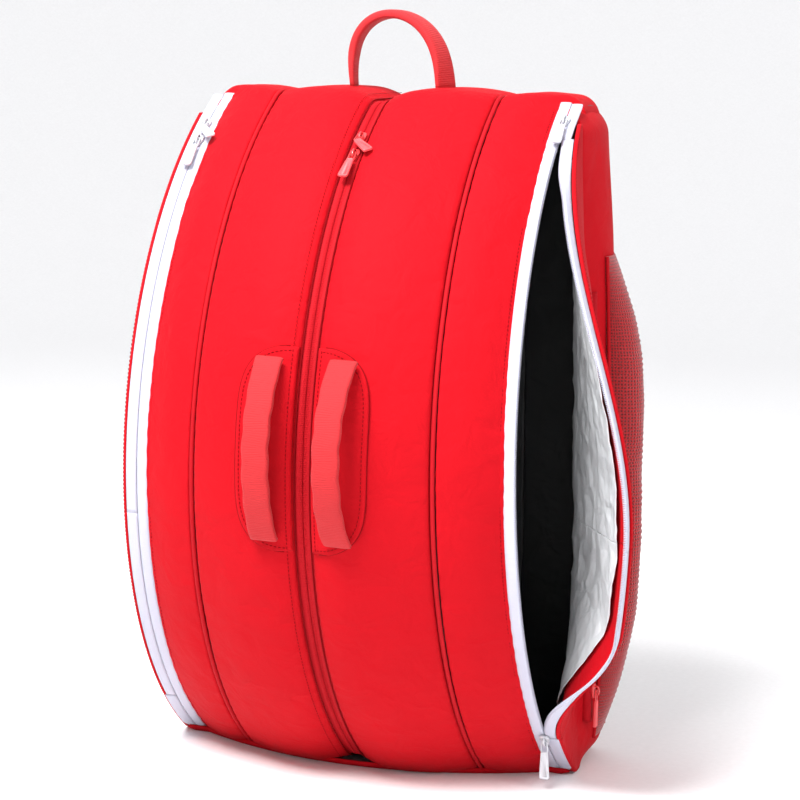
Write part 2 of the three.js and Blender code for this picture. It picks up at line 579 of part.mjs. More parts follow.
const ZIP_SLIDER_RADIUS = FRONT_RADIUS + 0.2;
const CENTRE_SLIDER_RADIUS = FRONT_RADIUS - CENTRE_ZIP_RECESS + GAP;
const UPPER_PHI = PHI_TOP - UPPER_SLIDER_DROP / FRONT_RADIUS;
const LOWER_PHI = UPPER_PHI - SLIDER_SPACING / FRONT_RADIUS;
const MOUTH_TOP_PHI = phiAt(FLAP_HINGE_TOP.z - MOUTH_TOP_DROP);
const MOUTH_FOOT_PHI = phiAt(MOUTH_FOOT_Z);
const leftZipX = (z) => -zipHalf(z);
arcSlider('left_upper', WHITE, leftZipX, ZIP_FLARE, ZIP_SLIDER_RADIUS, UPPER_PHI,
  PULL_LEAN, PULL_LIFT.crossed);
arcSlider('left_lower', WHITE, leftZipX, ZIP_FLARE, ZIP_SLIDER_RADIUS, LOWER_PHI, 0, 0);
arcSlider('centre_upper', BRIGHT_RED, () => 0, 0, CENTRE_SLIDER_RADIUS, UPPER_PHI,
  PULL_LEAN, PULL_LIFT.crossed);
arcSlider('centre_lower', BRIGHT_RED, () => 0, 0, CENTRE_SLIDER_RADIUS, LOWER_PHI, 0, PULL_LIFT.centre);
arcSlider('right_upper', WHITE, zipHalf, -ZIP_FLARE, ZIP_SLIDER_RADIUS, MOUTH_TOP_PHI, 0, 0);
arcSlider('right_lower', WHITE, zipHalf, -ZIP_FLARE, ZIP_SLIDER_RADIUS, MOUTH_FOOT_PHI,
  0, -THREE.MathUtils.radToDeg(MOUTH_FOOT_PHI));

// The pocket's slider runs straight up the side, facing +X.
const POCKET_SLIDER_Z = POCKET.foot + POCKET_ZIP.sliderUp;
const pocketSeat = new THREE.Group();
pocketSeat.position.set(pocketZipX(POCKET_SLIDER_Z) + TAPE_THICK + GAP, POCKET_ZIP_Y, POCKET_SLIDER_Z);
pocketSeat.rotation.z = Math.PI / 2;
add('pocket_slider', sliderForm(), BRIGHT_RED, pocketSeat, 0.35, 0.6);
const pocketPull = add('pocket_pull', pullForm(), BRIGHT_RED, pocketSeat, 0.5);
pocketPull.position.y = -EYE_LIFT;
group.add(pocketSeat);

// ---------------------------------------------------------------- origin: middle of the base of the bounding box
group.updateMatrixWorld(true);
const bounds = new THREE.Box3().setFromObject(group, true);
const centre = bounds.getCenter(new THREE.Vector3());
group.position.set(-centre.x, -centre.y, -bounds.min.z);
group.updateMatrixWorld(true);

export default group;
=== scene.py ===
import math

import bmesh
import bpy
import numpy as np
from bpy.props import FloatProperty, FloatVectorProperty, PointerProperty
from mathutils import Matrix, Vector, noise

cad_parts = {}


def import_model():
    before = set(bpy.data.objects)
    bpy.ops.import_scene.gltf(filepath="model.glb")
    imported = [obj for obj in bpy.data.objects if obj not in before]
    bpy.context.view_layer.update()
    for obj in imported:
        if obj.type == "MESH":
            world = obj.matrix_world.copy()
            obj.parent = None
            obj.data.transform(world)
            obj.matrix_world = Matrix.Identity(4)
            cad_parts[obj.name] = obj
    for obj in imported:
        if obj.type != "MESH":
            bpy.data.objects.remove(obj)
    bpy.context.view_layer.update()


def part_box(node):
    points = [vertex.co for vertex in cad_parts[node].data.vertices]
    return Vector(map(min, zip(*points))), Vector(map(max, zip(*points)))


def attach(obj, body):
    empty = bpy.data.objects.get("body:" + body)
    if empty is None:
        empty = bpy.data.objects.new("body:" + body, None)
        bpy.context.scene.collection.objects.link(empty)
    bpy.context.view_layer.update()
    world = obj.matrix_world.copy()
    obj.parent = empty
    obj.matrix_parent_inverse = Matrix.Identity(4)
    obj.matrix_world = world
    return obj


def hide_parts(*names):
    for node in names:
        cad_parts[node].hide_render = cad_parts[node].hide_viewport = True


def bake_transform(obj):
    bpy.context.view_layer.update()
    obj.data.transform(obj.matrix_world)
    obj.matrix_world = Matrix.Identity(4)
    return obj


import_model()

bl_info = {
    "name": "Racket tournament bag",
    "version": (1, 0, 0),
    "blender": (4, 5, 0),
    "location": "View3D > Sidebar > Bag",
    "description": "Sews a three-compartment racket bag around its packed frame",
    "category": "Add Mesh",
}

MM = 0.001
CENTRE_X = (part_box("left_piping")[0].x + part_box("right_piping")[1].x) / 2
BACK_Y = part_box("back_panel")[1].y
SIDES = (("left", -1), ("right", 1))


def hex_colour(code):
    """sRGB hex to the linear colour that a shader takes."""
    parts = [int(code[i : i + 2], 16) / 255 for i in (1, 3, 5)]
    return [p / 12.92 if p <= 0.04045 else ((p + 0.055) / 1.055) ** 2.4 for p in parts]


# ------------------------------------------------------------------ what a user would change
def length(name, text, millimetres):
    return FloatProperty(name=name, description=text, default=millimetres * MM,
                         unit="LENGTH", subtype="DISTANCE")


def colour(name, text, code):
    return FloatVectorProperty(name=name, description=text, default=hex_colour(code), size=3,
                               min=0, max=1, subtype="COLOR")


class BagSizes(bpy.types.PropertyGroup):
    height: length("Height", "Base to the crown of the top", 600)
    depth: length("Depth", "Back to the fullest point of the front", 300)
    top_depth: length("Top depth", "Back to the front's top edge", 132)
    foot_depth: length("Foot depth", "Back to the front's foot", 153)
    zip_half: length("Zip half width", "Centre to a side zip, at the top edge", 163)
    bow: length("Bow", "How far the front falls back from centre to side zip", 50)
    puff: length("Puff", "Padding crown of a front panel", 4.2)
    valley: length("Valley", "Dip of the front panels beside the centre zip", 5)
    side_belly: length("Side belly", "How far the sides belly out behind the flaps", 19)
    stitch: length("Stitch", "Length of one stitch with its gap", 3.6)
    coil_pitch: length("Coil pitch", "Spacing of the zip's coil turns", 1.5)


class BagColours(bpy.types.PropertyGroup):
    fabric: colour("Fabric", "Coated polyester of the body", "#B80B18")
    webbing: colour("Webbing", "Grosgrain of handles and loop", "#BA2A2E")
    trim: colour("Trim", "Piping and centre zip", "#AE0F1B")
    zip_tape: colour("Zip tape", "Side zip tapes", "#BCBECE")
    lining: colour("Lining", "Foil lining of the flaps", "#E9EBEE")
    inside: colour("Inside", "Lining of the compartments", "#0E0E10")


# ------------------------------------------------------------------ the bag's shape, in millimetres
# x runs across from the centre plane, y back from the rear face, z up from the floor.
TOP_CROWN = 8.0
FOOT_Z = 8.0
FLARE = 0.023
SEAM_SHARE = 0.63
FLAT_SHARE = 0.93
VALLEY_SHARE = 0.3
WALL = 5.0
TAPE = 9.6
TAPE_THICK = 1.6
GAP = 0.4
ZIP_RECESS = 7.5
CENTRE_TAPE = 6.0
PIPING = 2.0
SIDE_WALL = 3.5
HINGE_TOP = (-93.0, 584.0)
HINGE_FOOT = (-88.0, 88.0)
HEEL_Z = 46.0
FLAP_SPLIT_Z = 235.0
FLAP_ANGLE = math.radians(31)
BACK_ROUND = 14.0
TOP_ROUND = 24.0
TOP_BACK_ROUND = 18.0
EDGE_ROLL = 4.0


class BagForm:
    """The sewn shape: the front's profile, its seams and its sides."""

    def __init__(self, sizes):
        self.depth = sizes.depth / MM
        self.top_z = sizes.height / MM - TOP_CROWN
        self.zip_top = sizes.zip_half / MM
        self.bow_depth = sizes.bow / MM
        self.puff = sizes.puff / MM
        self.valley = sizes.valley / MM
        self.belly = sizes.side_belly / MM
        self.stitch = sizes.stitch / MM
        self.coil_pitch = sizes.coil_pitch / MM
        top_sag = self.depth - sizes.top_depth / MM
        foot_sag = self.depth - sizes.foot_depth / MM
        span = self.top_z - FOOT_Z
        a = foot_sag - top_sag
        b = 2 * top_sag * span
        c = top_sag * (foot_sag * top_sag - span**2 - foot_sag**2)
        rise = 2 * c / (-b - math.sqrt(b * b - 4 * a * c))
        self.radius = (rise**2 + top_sag**2) / (2 * top_sag)
        self.arc_z = self.top_z - rise
        self.arc_y = self.radius - self.depth
        self.phi_top = self.phi(self.top_z)
        self.phi_foot = self.phi(FOOT_Z)
        self.trace_profile()

    def phi(self, z):
        return math.asin((z - self.arc_z) / self.radius)

    def front_y(self, z, radius=None):
        r = radius or self.radius
        return self.arc_y - np.sqrt(np.maximum(r * r - (z - self.arc_z) ** 2, 1.0))

    def zip_half(self, z):
        return self.zip_top + FLARE * (self.top_z - z)

    def seam(self, z):
        return SEAM_SHARE * self.zip_half(z)

    def bow(self, share):
        return self.bow_depth * np.minimum(np.abs(share) / FLAT_SHARE, 1) ** 2

    def hinge_y(self, z):
        t = (z - HINGE_FOOT[1]) / (HINGE_TOP[1] - HINGE_FOOT[1])
        return HINGE_FOOT[0] + t * (HINGE_TOP[0] - HINGE_FOOT[0])

    def side_x(self, z):
        return self.zip_half(z) + TAPE + 2 * GAP + SIDE_WALL

    def bulge(self, y, z):
        share = (y - self.hinge_y(z)) / (-8 - self.hinge_y(z))
        up = np.sin(np.pi * np.clip(z / self.top_z, 0.02, 0.98)) ** 0.5
        return np.where(share > 0, self.belly * up * np.sin(np.pi * 0.9 * np.clip(share, 0, 1)), 0)

    def trace_profile(self):
        """Side view of a panel: under the foot, up the arc, over the top and down behind it."""
        points = []
        foot_turn = math.pi / 2 + self.phi_foot
        foot_radius = (FOOT_Z - 1) / (1 - math.cos(foot_turn))

        def arc(phi):
            return self.arc_y - self.radius * math.cos(phi), self.arc_z + self.radius * math.sin(phi)

        centre_y = arc(self.phi_foot)[0] + foot_radius * math.sin(foot_turn)
        for t in np.linspace(0, foot_turn, 9)[:-1]:
            points.append((centre_y - foot_radius * math.sin(t), 1 + foot_radius * (1 - math.cos(t))))
        self.foot_steps = len(points)
        points += [arc(phi) for phi in np.linspace(self.phi_foot, self.phi_top, 200)]
        self.top_step = len(points) - 1
        turn = math.pi / 2 - self.phi_top
        radius = TOP_CROWN / (1 - math.cos(turn))
        y1, z1 = points[-1]
        for t in np.linspace(turn, 0, 14)[1:]:
            points.append((y1 + radius * (math.sin(turn) - math.sin(t)),
                           z1 + radius * (math.cos(t) - math.cos(turn))))
        y2, z2 = points[-1]
        last = -TOP_BACK_ROUND - 3
        points += [(y, z2) for y in np.linspace(y2, last, 20)[1:]]
        for t in np.linspace(0, math.radians(85), 10)[1:]:
            points.append((last + TOP_BACK_ROUND * math.sin(t), z2 - TOP_BACK_ROUND * (1 - math.cos(t))))
        p = np.array(points)
        steps = np.hypot(*np.diff(p, axis=0).T)
        self.along = np.concatenate([[0], np.cumsum(steps)])
        self.profile = p
        t = np.gradient(p, self.along, axis=0)
        t /= np.linalg.norm(t, axis=1)[:, None]
        self.normals = np.stack([-t[:, 1], t[:, 0]], 1)
        self.s_foot = self.along[self.foot_steps]
        self.s_top = self.along[self.top_step]
        self.s_end = self.along[-1]
        self.y_top = p[self.top_step, 0]

    def s_at(self, z):
        """Distance along the profile to a height on the arc."""
        return self.s_foot + (self.phi(z) - self.phi_foot) * self.radius

    def on_front(self, x, s, lift):
        """A point on the front or the top, lifted off it along the profile's normal."""
        y = np.interp(s, self.along, self.profile[:, 0])
        z = np.interp(s, self.along, self.profile[:, 1])
        ny = np.interp(s, self.along, self.normals[:, 0])
        nz = np.interp(s, self.along, self.normals[:, 1])
        fade = np.where(s > self.s_top, np.clip((-y - 15) / (-self.y_top - 15), 0, 1), 1)
        bow = self.bow(x / self.zip_half(np.minimum(z, self.top_z))) * fade
        return grid(x + 0 * y, y + bow + ny * lift, np.maximum(z + nz * lift, 0.3))

    def height_at(self, s):
        return np.interp(s, self.along, self.profile[:, 1])

    def panel_lift(self, x, s):
        """Crown and valley of a front panel."""
        z = np.minimum(self.height_at(s), self.top_z)
        near = CENTRE_TAPE + 2 * GAP + 0.7
        share = np.clip((np.abs(x) - near) / (self.seam(z) - PIPING - GAP - near), 0, 1)
        dip = (1 - np.minimum(share / VALLEY_SHARE, 1)) ** 2
        return self.puff * np.sin(np.pi * share) ** 0.8 - self.valley * dip


def world(points):
    """Millimetres on the bag to metres in the frame."""
    return np.asarray(points, float) * MM + np.array([CENTRE_X, BACK_Y, 0.0])


def smooth(t):
    t = np.clip(t, 0, 1)
    return t * t * (3 - 2 * t)


def roll(distance, radius=EDGE_ROLL):
    """How far a turned edge drops at a distance from its seam."""
    d = radius - np.clip(distance, 0, radius)
    return radius - np.sqrt(np.maximum(radius * radius - d * d, 0))


def unevenness(points, size, seed, detail=2):
    """Smooth unevenness from -1 to 1; size is the length of a dent in mm, for x, y and z."""
    flat = (points / np.array(size) + seed * 7.31).reshape(-1, 3)
    values = np.zeros(len(flat))
    for octave in range(detail):
        k = 2.0**octave
        values += np.array([noise.noise(Vector(p * k)) for p in flat]) / k
    return values.reshape(points.shape[:-1])


def eased(count, ends=0.0):
    """Shares from 0 to 1, closer together near both ends."""
    t = np.linspace(0, 1, count)
    return (1 - ends) * t + ends * (1 - np.cos(np.pi * t)) / 2


# ------------------------------------------------------------------ meshes
def grid(*parts):
    """Coordinates that may each vary along rows, columns or both, as one grid of points."""
    return np.stack(np.broadcast_arrays(*parts), -1)


def unit(vectors):
    return vectors / np.linalg.norm(vectors, axis=1)[:, None]


def steps_along(points):
    """Distance from the first point to each point of a line."""
    return np.concatenate([[0], np.cumsum(np.linalg.norm(np.diff(points, axis=0), axis=1))])


def linked(name, data):
    """A new object in the scene."""
    obj = bpy.data.objects.new(name, data)
    bpy.context.scene.collection.objects.link(obj)
    return obj


def new_mesh(name, points, faces, materials, face_materials=None, cloth=None, smooth_faces=True):
    """A mesh object at the origin with its place in its points, its faces turned outwards."""
    mesh = bpy.data.meshes.new(name)
    mesh.from_pydata(world(points).tolist(), [], faces)
    if cloth is not None:
        attribute = mesh.attributes.new("cloth_mm", "FLOAT_VECTOR", "POINT")
        attribute.data.foreach_set("vector", np.asarray(cloth, np.float32).ravel())
    for material in materials:
        mesh.materials.append(material)
    if face_materials is not None:
        mesh.polygons.foreach_set("material_index", face_materials)
    work = bmesh.new()
    work.from_mesh(mesh)
    bmesh.ops.recalc_face_normals(work, faces=work.faces)
    work.to_mesh(mesh)
    work.free()
    if smooth_faces:
        mesh.shade_smooth()
    return linked(name, mesh)


def shell(name, outer, inner, materials):
    """A closed wall between two grids of points. materials are outside and, if given, inside."""
    rows, cols = outer.shape[:2]
    count = rows * cols
    points = np.concatenate([outer.reshape(-1, 3), inner.reshape(-1, 3)])
    index = np.arange(count).reshape(rows, cols)
    a, b, c, d = index[:-1, :-1], index[:-1, 1:], index[1:, 1:], index[1:, :-1]
    top = grid(a, b, c, d).reshape(-1, 4)
    low = grid(a, d, c, b).reshape(-1, 4) + count
    ring = np.concatenate([index[0, :-1], index[:-1, -1], index[-1, :0:-1], index[:0:-1, 0]])
    after = np.roll(ring, -1)
    rim = grid(ring, ring + count, after + count, after)
    faces = np.concatenate([top, low, rim]).tolist()
    kinds = np.zeros(len(faces), np.int32)
    if len(materials) > 1:
        kinds[len(top) : len(top) + len(low)] = 1
    across, along = steps_along(outer[rows // 2]), steps_along(outer[:, cols // 2])
    cloth = grid(across[None, :], along[:, None], 0.0).reshape(-1, 3)
    return new_mesh(name, points, faces, materials, kinds, np.concatenate([cloth, cloth]))


def swept(name, path, facing, width, thick, material, power=0.55, sides=20, closed=False):
    """A band or cord along a path. facing is the way its flat face looks; sizes may vary along it."""
    path, facing = np.asarray(path, float), np.asarray(facing, float)
    n = len(path)
    width, thick = np.broadcast_to(width, n), np.broadcast_to(thick, n)
    if closed:
        tangent = np.roll(path, -1, 0) - np.roll(path, 1, 0)
    else:
        tangent = np.gradient(path, axis=0)
    tangent = unit(tangent)
    side = unit(np.cross(tangent, facing))
    up = np.cross(side, tangent)
    a = np.arange(sides) / sides * 2 * np.pi
    ca, sa = np.cos(a), np.sin(a)
    section = np.stack([np.sign(ca) * np.abs(ca) ** power, np.sign(sa) * np.abs(sa) ** power], -1) / 2
    points = (path[:, None] + side[:, None] * (section[None, :, :1] * width[:, None, None])
              + up[:, None] * (section[None, :, 1:] * thick[:, None, None]))
    index = np.arange(n * sides).reshape(n, sides)
    rows = n if closed else n - 1
    near, far = index[:rows], np.roll(index, -1, 0)[:rows]
    faces = grid(near, np.roll(near, -1, 1), np.roll(far, -1, 1), far).reshape(-1, 4).tolist()
    if not closed:
        faces += [index[0, ::-1].tolist(), index[-1].tolist()]
    along = steps_along(path)
    across = section[:, 0] * float(width.max())
    cloth = grid(across[None, :], along[:, None], 0.0).reshape(-1, 3)
    return new_mesh(name, points.reshape(-1, 3), faces, [material], None, cloth)


def joined(name, objects):
    """Several mesh objects as one, their materials kept."""
    work = bmesh.new()
    materials = []
    for obj in objects:
        start = len(work.faces)
        work.from_mesh(obj.data)
        work.faces.ensure_lookup_table()
        slots = []
        for material in obj.data.materials:
            if material not in materials:
                materials.append(material)
            slots.append(materials.index(material))
        for face in work.faces[start:]:
            face.material_index = slots[face.material_index] if slots else 0
        old = obj.data
        bpy.data.objects.remove(obj)
        bpy.data.meshes.remove(old)
    mesh = bpy.data.meshes.new(name)
    work.to_mesh(mesh)
    work.free()
    for material in materials:
        mesh.materials.append(material)
    return linked(name, mesh)


def plate(name, outline, thick, material, matrix, bevel=0.5, segments=3, recess=None):
    """A flat part with rounded edges: outline in local x and z, thick along local y, in mm."""
    work = bmesh.new()
    ring = [work.verts.new((x, -thick / 2, z)) for x, z in outline]
    face = work.faces.new(ring)
    grown = bmesh.ops.extrude_face_region(work, geom=[face])
    moved = [v for v in grown["geom"] if isinstance(v, bmesh.types.BMVert)]
    bmesh.ops.translate(work, verts=moved, vec=(0, thick, 0))
    bmesh.ops.recalc_face_normals(work, faces=work.faces)
    if recess:
        inset, deep = recess
        flats = [f for f in work.faces if abs(f.normal.y) > 0.9]
        for flat in flats:
            out = flat.normal.copy()
            bmesh.ops.inset_region(work, faces=[flat], thickness=inset, use_even_offset=True)
            bmesh.ops.inset_region(work, faces=[flat], thickness=deep, use_even_offset=True)
            bmesh.ops.translate(work, verts=flat.verts[:], vec=-out * deep)
    rims = [e for e in work.edges if len(e.link_faces) == 2 and e.calc_face_angle(0) > 0.6
            and max(abs(v.co.y) for v in e.verts) > thick / 2 - 1e-4]
    bmesh.ops.bevel(work, geom=rims, offset=bevel, segments=segments, profile=0.5, affect="EDGES")
    bmesh.ops.transform(work, matrix=matrix, verts=work.verts)
    points = np.array([v.co for v in work.verts])
    faces = [[v.index for v in f.verts] for f in work.faces]
    work.free()
    return new_mesh(name, points, faces, [material])


def rounded_outline(width, low, high, radius, steps=5, taper=0.0):
    """Corners of a rounded rectangle from height low to high; taper narrows its top."""
    points = []
    for cx, cz, start in ((1, 1, 0), (-1, 1, 90), (-1, -1, 180), (1, -1, 270)):
        for t in np.linspace(0, 90, steps):
            a = math.radians(start + t)
            half = width / 2 - (taper if cz > 0 else 0)
            x = cx * (half - radius) + radius * math.cos(a)
            z = (high - radius if cz > 0 else low + radius) + radius * math.sin(a)
            points.append((x, z))
    return points


def repeat_along(name, paths, facings, spacing, size, material):
    """Stitches or coil turns: small rounded beads along paths, from a node tree, as a plain mesh."""
    mesh = bpy.data.meshes.new(name)
    points, normals, edges = [], [], []
    for path, facing in zip(paths, facings):
        first = len(points)
        points += world(path).tolist()
        normals += np.broadcast_to(facing, np.shape(path)).tolist()
        edges += [(i, i + 1) for i in range(first, len(points) - 1)]
    mesh.from_pydata(points, edges, [])
    attribute = mesh.attributes.new("facing", "FLOAT_VECTOR", "POINT")
    attribute.data.foreach_set("vector", np.array(normals, np.float32).ravel())
    source = linked(name, mesh)
    tree = bead_tree()
    modifier = source.modifiers.new("beads", "NODES")
    modifier.node_group = tree
    sockets = {i.name: i.identifier for i in tree.interface.items_tree if i.item_type == "SOCKET"}
    modifier[sockets["Spacing"]] = spacing * MM
    modifier[sockets["Size"]] = [v * MM for v in size]
    modifier[sockets["Finish"]] = material
    bpy.context.view_layer.update()
    graph = bpy.context.evaluated_depsgraph_get()
    made = bpy.data.meshes.new_from_object(source.evaluated_get(graph), preserve_all_data_layers=True,
                                           depsgraph=graph)
    source.modifiers.clear()
    bpy.data.objects.remove(source)
    bpy.data.meshes.remove(mesh)
    made.name = name
    if not made.materials:
        made.materials.append(material)
    return linked(name, made)


def bead_tree():
    """Node tree that sets beads along a line: Spacing between them, Size of each, Finish to paint them."""
    tree = bpy.data.node_groups.get("beads_along_a_line")
    if tree:
        return tree
    tree = bpy.data.node_groups.new("beads_along_a_line", "GeometryNodeTree")
    face = tree.interface
    face.new_socket("Geometry", in_out="INPUT", socket_type="NodeSocketGeometry")
    spacing = face.new_socket("Spacing", in_out="INPUT", socket_type="NodeSocketFloat")
    spacing.default_value = 0.004
    face.new_socket("Size", in_out="INPUT", socket_type="NodeSocketVector")
    face.new_socket("Finish", in_out="INPUT", socket_type="NodeSocketMaterial")
    face.new_socket("Geometry", in_out="OUTPUT", socket_type="NodeSocketGeometry")
    start = node(tree, "NodeGroupInput")
    line = node(tree, "GeometryNodeMeshToCurve", {"Mesh": start.outputs["Geometry"]})
    even = node(tree, "GeometryNodeResampleCurve",
                {"Curve": line.outputs[0], "Length": start.outputs["Spacing"]}, mode="LENGTH")
    tangent = node(tree, "GeometryNodeInputTangent")
    facing = node(tree, "GeometryNodeInputNamedAttribute", {"Name": "facing"}, data_type="FLOAT_VECTOR")
    lie = node(tree, "FunctionNodeAlignRotationToVector", {"Vector": tangent.outputs[0]}, axis="X")
    turn = node(tree, "FunctionNodeAlignRotationToVector",
                {"Rotation": lie.outputs[0], "Vector": facing.outputs[0]}, axis="Z", pivot_axis="X")
    bead = node(tree, "GeometryNodeMeshIcoSphere", {"Radius": 0.5, "Subdivisions": 2})
    soft = node(tree, "GeometryNodeSetShadeSmooth", {"Geometry": bead.outputs[0]})
    spread = node(tree, "GeometryNodeInstanceOnPoints",
                  {"Points": even.outputs[0], "Instance": soft.outputs[0], "Rotation": turn.outputs[0],
                   "Scale": start.outputs["Size"]})
    real = node(tree, "GeometryNodeRealizeInstances", {"Geometry": spread.outputs[0]})
    paint = node(tree, "GeometryNodeSetMaterial",
                 {"Geometry": real.outputs[0], "Material": start.outputs["Finish"]})
    node(tree, "NodeGroupOutput", {"Geometry": paint.outputs[0]})
    return tree


def node(tree, kind, inputs=None, **settings):
    """Adds a node with its settings; an input is a value or another node's output."""
    made = tree.nodes.new(kind)
    for key, value in settings.items():
        setattr(made, key, value)
    for key, value in (inputs or {}).items():
        if isinstance(value, bpy.types.NodeSocket):
            tree.links.new(value, made.inputs[key])
        else:
            made.inputs[key].default_value = value
    return made


# ------------------------------------------------------------------ materials
def shader(name):
    """An empty material with its Principled shader."""
    material = bpy.data.materials.new(name)
    material.use_nodes = True
    material.node_tree.nodes.clear()
    base = node(material.node_tree, "ShaderNodeBsdfPrincipled")
    node(material.node_tree, "ShaderNodeOutputMaterial", {"Surface": base.outputs[0]})
    return material, material.node_tree, base


def tinted(tree, mask, dark, light):
    """Colour that runs from dark to light as mask goes from 0 to 1."""
    mix = node(tree, "ShaderNodeMix", data_type="RGBA")
    tree.links.new(mask, mix.inputs[0])
    mix.inputs[6].default_value = [*dark, 1]
    mix.inputs[7].default_value = [*light, 1]
    return mix.outputs[2]


def maths(tree, operation, *values):
    """Output of a math node."""
    return node(tree, "ShaderNodeMath", dict(enumerate(values)), operation=operation).outputs[0]


def threads(tree, where, across, along):
    """Height of an over-and-under weave; across and along are the thread spacings in mm."""
    split = node(tree, "ShaderNodeSeparateXYZ", {0: where})

    def wave(axis, spacing):
        return maths(tree, "SINE", maths(tree, "MULTIPLY", split.outputs[axis], 2 * math.pi / spacing))

    return maths(tree, "MULTIPLY", wave(0, across), wave(1, along))


def cloth_material(name, tone, spacing, rough, sheen, bump, mottle=0.12, ribs=None, slack=0.0, gloss=0.5):
    """Woven cloth. spacing is the thread spacing in mm, drawn two to three times as coarse as the real one
    so that it shows; ribs is the spacing of cross ribs; slack is the depth of soft creases in mm."""
    material, tree, base = shader(name)
    where = node(tree, "ShaderNodeAttribute", attribute_name="cloth_mm").outputs["Vector"]
    place = node(tree, "ShaderNodeTexCoord").outputs["Object"]
    patches = node(tree, "ShaderNodeTexNoise", {"Vector": place, "Scale": 26.0, "Detail": 4.0,
                                                "Roughness": 0.6})
    grain = node(tree, "ShaderNodeTexNoise", {"Vector": where, "Scale": 0.55, "Detail": 2.0})
    half = maths(tree, "MULTIPLY", maths(tree, "ADD", patches.outputs[0], grain.outputs[0]), 0.5)
    dark = [c * (1 - mottle) for c in tone]
    light = [min(c * (1 + mottle), 1) for c in tone]
    tree.links.new(tinted(tree, half, dark, light), base.inputs["Base Color"])
    weave = threads(tree, where, spacing, spacing)
    if ribs:
        split = node(tree, "ShaderNodeSeparateXYZ", {0: where})
        rib = maths(tree, "SINE", maths(tree, "MULTIPLY", split.outputs[1], 2 * math.pi / ribs))
        weave = maths(tree, "MULTIPLY_ADD", rib, 2.0, weave)
    height = maths(tree, "MULTIPLY", weave, bump * MM)
    relief = node(tree, "ShaderNodeBump", {"Height": height, "Strength": 0.8, "Distance": 1.0})
    if slack:
        folds = node(tree, "ShaderNodeTexNoise", {"Vector": place, "Scale": 38.0, "Detail": 3.0,
                                                  "Distortion": 0.6})
        deep = maths(tree, "MULTIPLY", folds.outputs[0], slack * MM)
        under = node(tree, "ShaderNodeBump", {"Height": deep, "Strength": 0.7, "Distance": 1.0})
        tree.links.new(under.outputs[0], relief.inputs["Normal"])
    tree.links.new(relief.outputs[0], base.inputs["Normal"])
    base.inputs["Roughness"].default_value = rough
    base.inputs["Sheen Weight"].default_value = sheen
    base.inputs["Sheen Roughness"].default_value = 0.45
    base.inputs["Specular IOR Level"].default_value = gloss
    base.inputs["IOR"].default_value = 1.5
    return material


def plastic_material(name, tone, rough, grain_mm, bump, coat=0.0, gloss=0.5):
    """Moulded or die-cast parts: even colour with a fine surface grain and slightly worn patches."""
    material, tree, base = shader(name)
    place = node(tree, "ShaderNodeTexCoord").outputs["Object"]
    wear = node(tree, "ShaderNodeTexNoise", {"Vector": place, "Scale": 180.0, "Detail": 3.0})
    dark = [c * 0.9 for c in tone]
    tree.links.new(tinted(tree, wear.outputs[0], dark, tone), base.inputs["Base Color"])
    grain = node(tree, "ShaderNodeTexNoise", {"Vector": place, "Scale": 1000 / grain_mm, "Detail": 2.0})
    height = maths(tree, "MULTIPLY", grain.outputs[0], bump * MM)
    relief = node(tree, "ShaderNodeBump", {"Height": height, "Strength": 0.5, "Distance": 1.0})
    tree.links.new(relief.outputs[0], base.inputs["Normal"])
    shine = node(tree, "ShaderNodeMapRange",
                 {"Value": wear.outputs[0], "To Min": rough * 0.85, "To Max": rough * 1.15})
    tree.links.new(shine.outputs[0], base.inputs["Roughness"])
    base.inputs["Coat Weight"].default_value = coat
    base.inputs["Specular IOR Level"].default_value = gloss
    return material


def foil_material(name, tone):
    """Foil-laminated lining: a metal film on cloth, creased where it has been folded."""
    material, tree, base = shader(name)
    place = node(tree, "ShaderNodeTexCoord").outputs["Object"]
    folds = node(tree, "ShaderNodeTexNoise", {"Vector": place, "Scale": 24.0, "Detail": 5.0,
                                              "Distortion": 1.4})
    # The base colour darkens to 72 % with the same noise that sinks the creases: painted shade in the creases.
    tree.links.new(tinted(tree, folds.outputs[0], [c * 0.72 for c in tone], tone), base.inputs["Base Color"])
    crease = node(tree, "ShaderNodeTexVoronoi", {"Vector": place, "Scale": 55.0},
                  feature="DISTANCE_TO_EDGE")
    mixed = maths(tree, "MULTIPLY_ADD", crease.outputs[0], 0.7, folds.outputs[0])
    height = maths(tree, "MULTIPLY", mixed, 3.0 * MM)
    relief = node(tree, "ShaderNodeBump", {"Height": height, "Strength": 0.7, "Distance": 1.0})
    tree.links.new(relief.outputs[0], base.inputs["Normal"])
    base.inputs["Metallic"].default_value = 0.12
    base.inputs["Roughness"].default_value = 0.38
    return material


def mesh_material(name, tone, cell_mm, rough, hole_share):
    """Knitted spacer mesh: rows of small holes in a soft face."""
    material, tree, base = shader(name)
    where = node(tree, "ShaderNodeAttribute", attribute_name="cloth_mm").outputs["Vector"]
    cells = node(tree, "ShaderNodeTexVoronoi", {"Vector": where, "Scale": 1 / cell_mm, "Randomness": 0.15},
                 voronoi_dimensions="2D")
    hole_depth_and_shade = node(tree, "ShaderNodeMapRange",
                {"Value": cells.outputs["Distance"], "From Min": hole_share * 0.6, "From Max": hole_share})
    # The holes are real openings; their darkening to 30 % of the tone is painted shade inside them.
    tree.links.new(tinted(tree, hole_depth_and_shade.outputs[0], [c * 0.3 for c in tone], tone), base.inputs["Base Color"])
    height = maths(tree, "MULTIPLY", hole_depth_and_shade.outputs[0], 0.7 * MM)
    relief = node(tree, "ShaderNodeBump", {"Height": height, "Strength": 0.9, "Distance": 1.0})
    tree.links.new(relief.outputs[0], base.inputs["Normal"])
    base.inputs["Roughness"].default_value = rough
    base.inputs["Sheen Weight"].default_value = 0.3
    return material


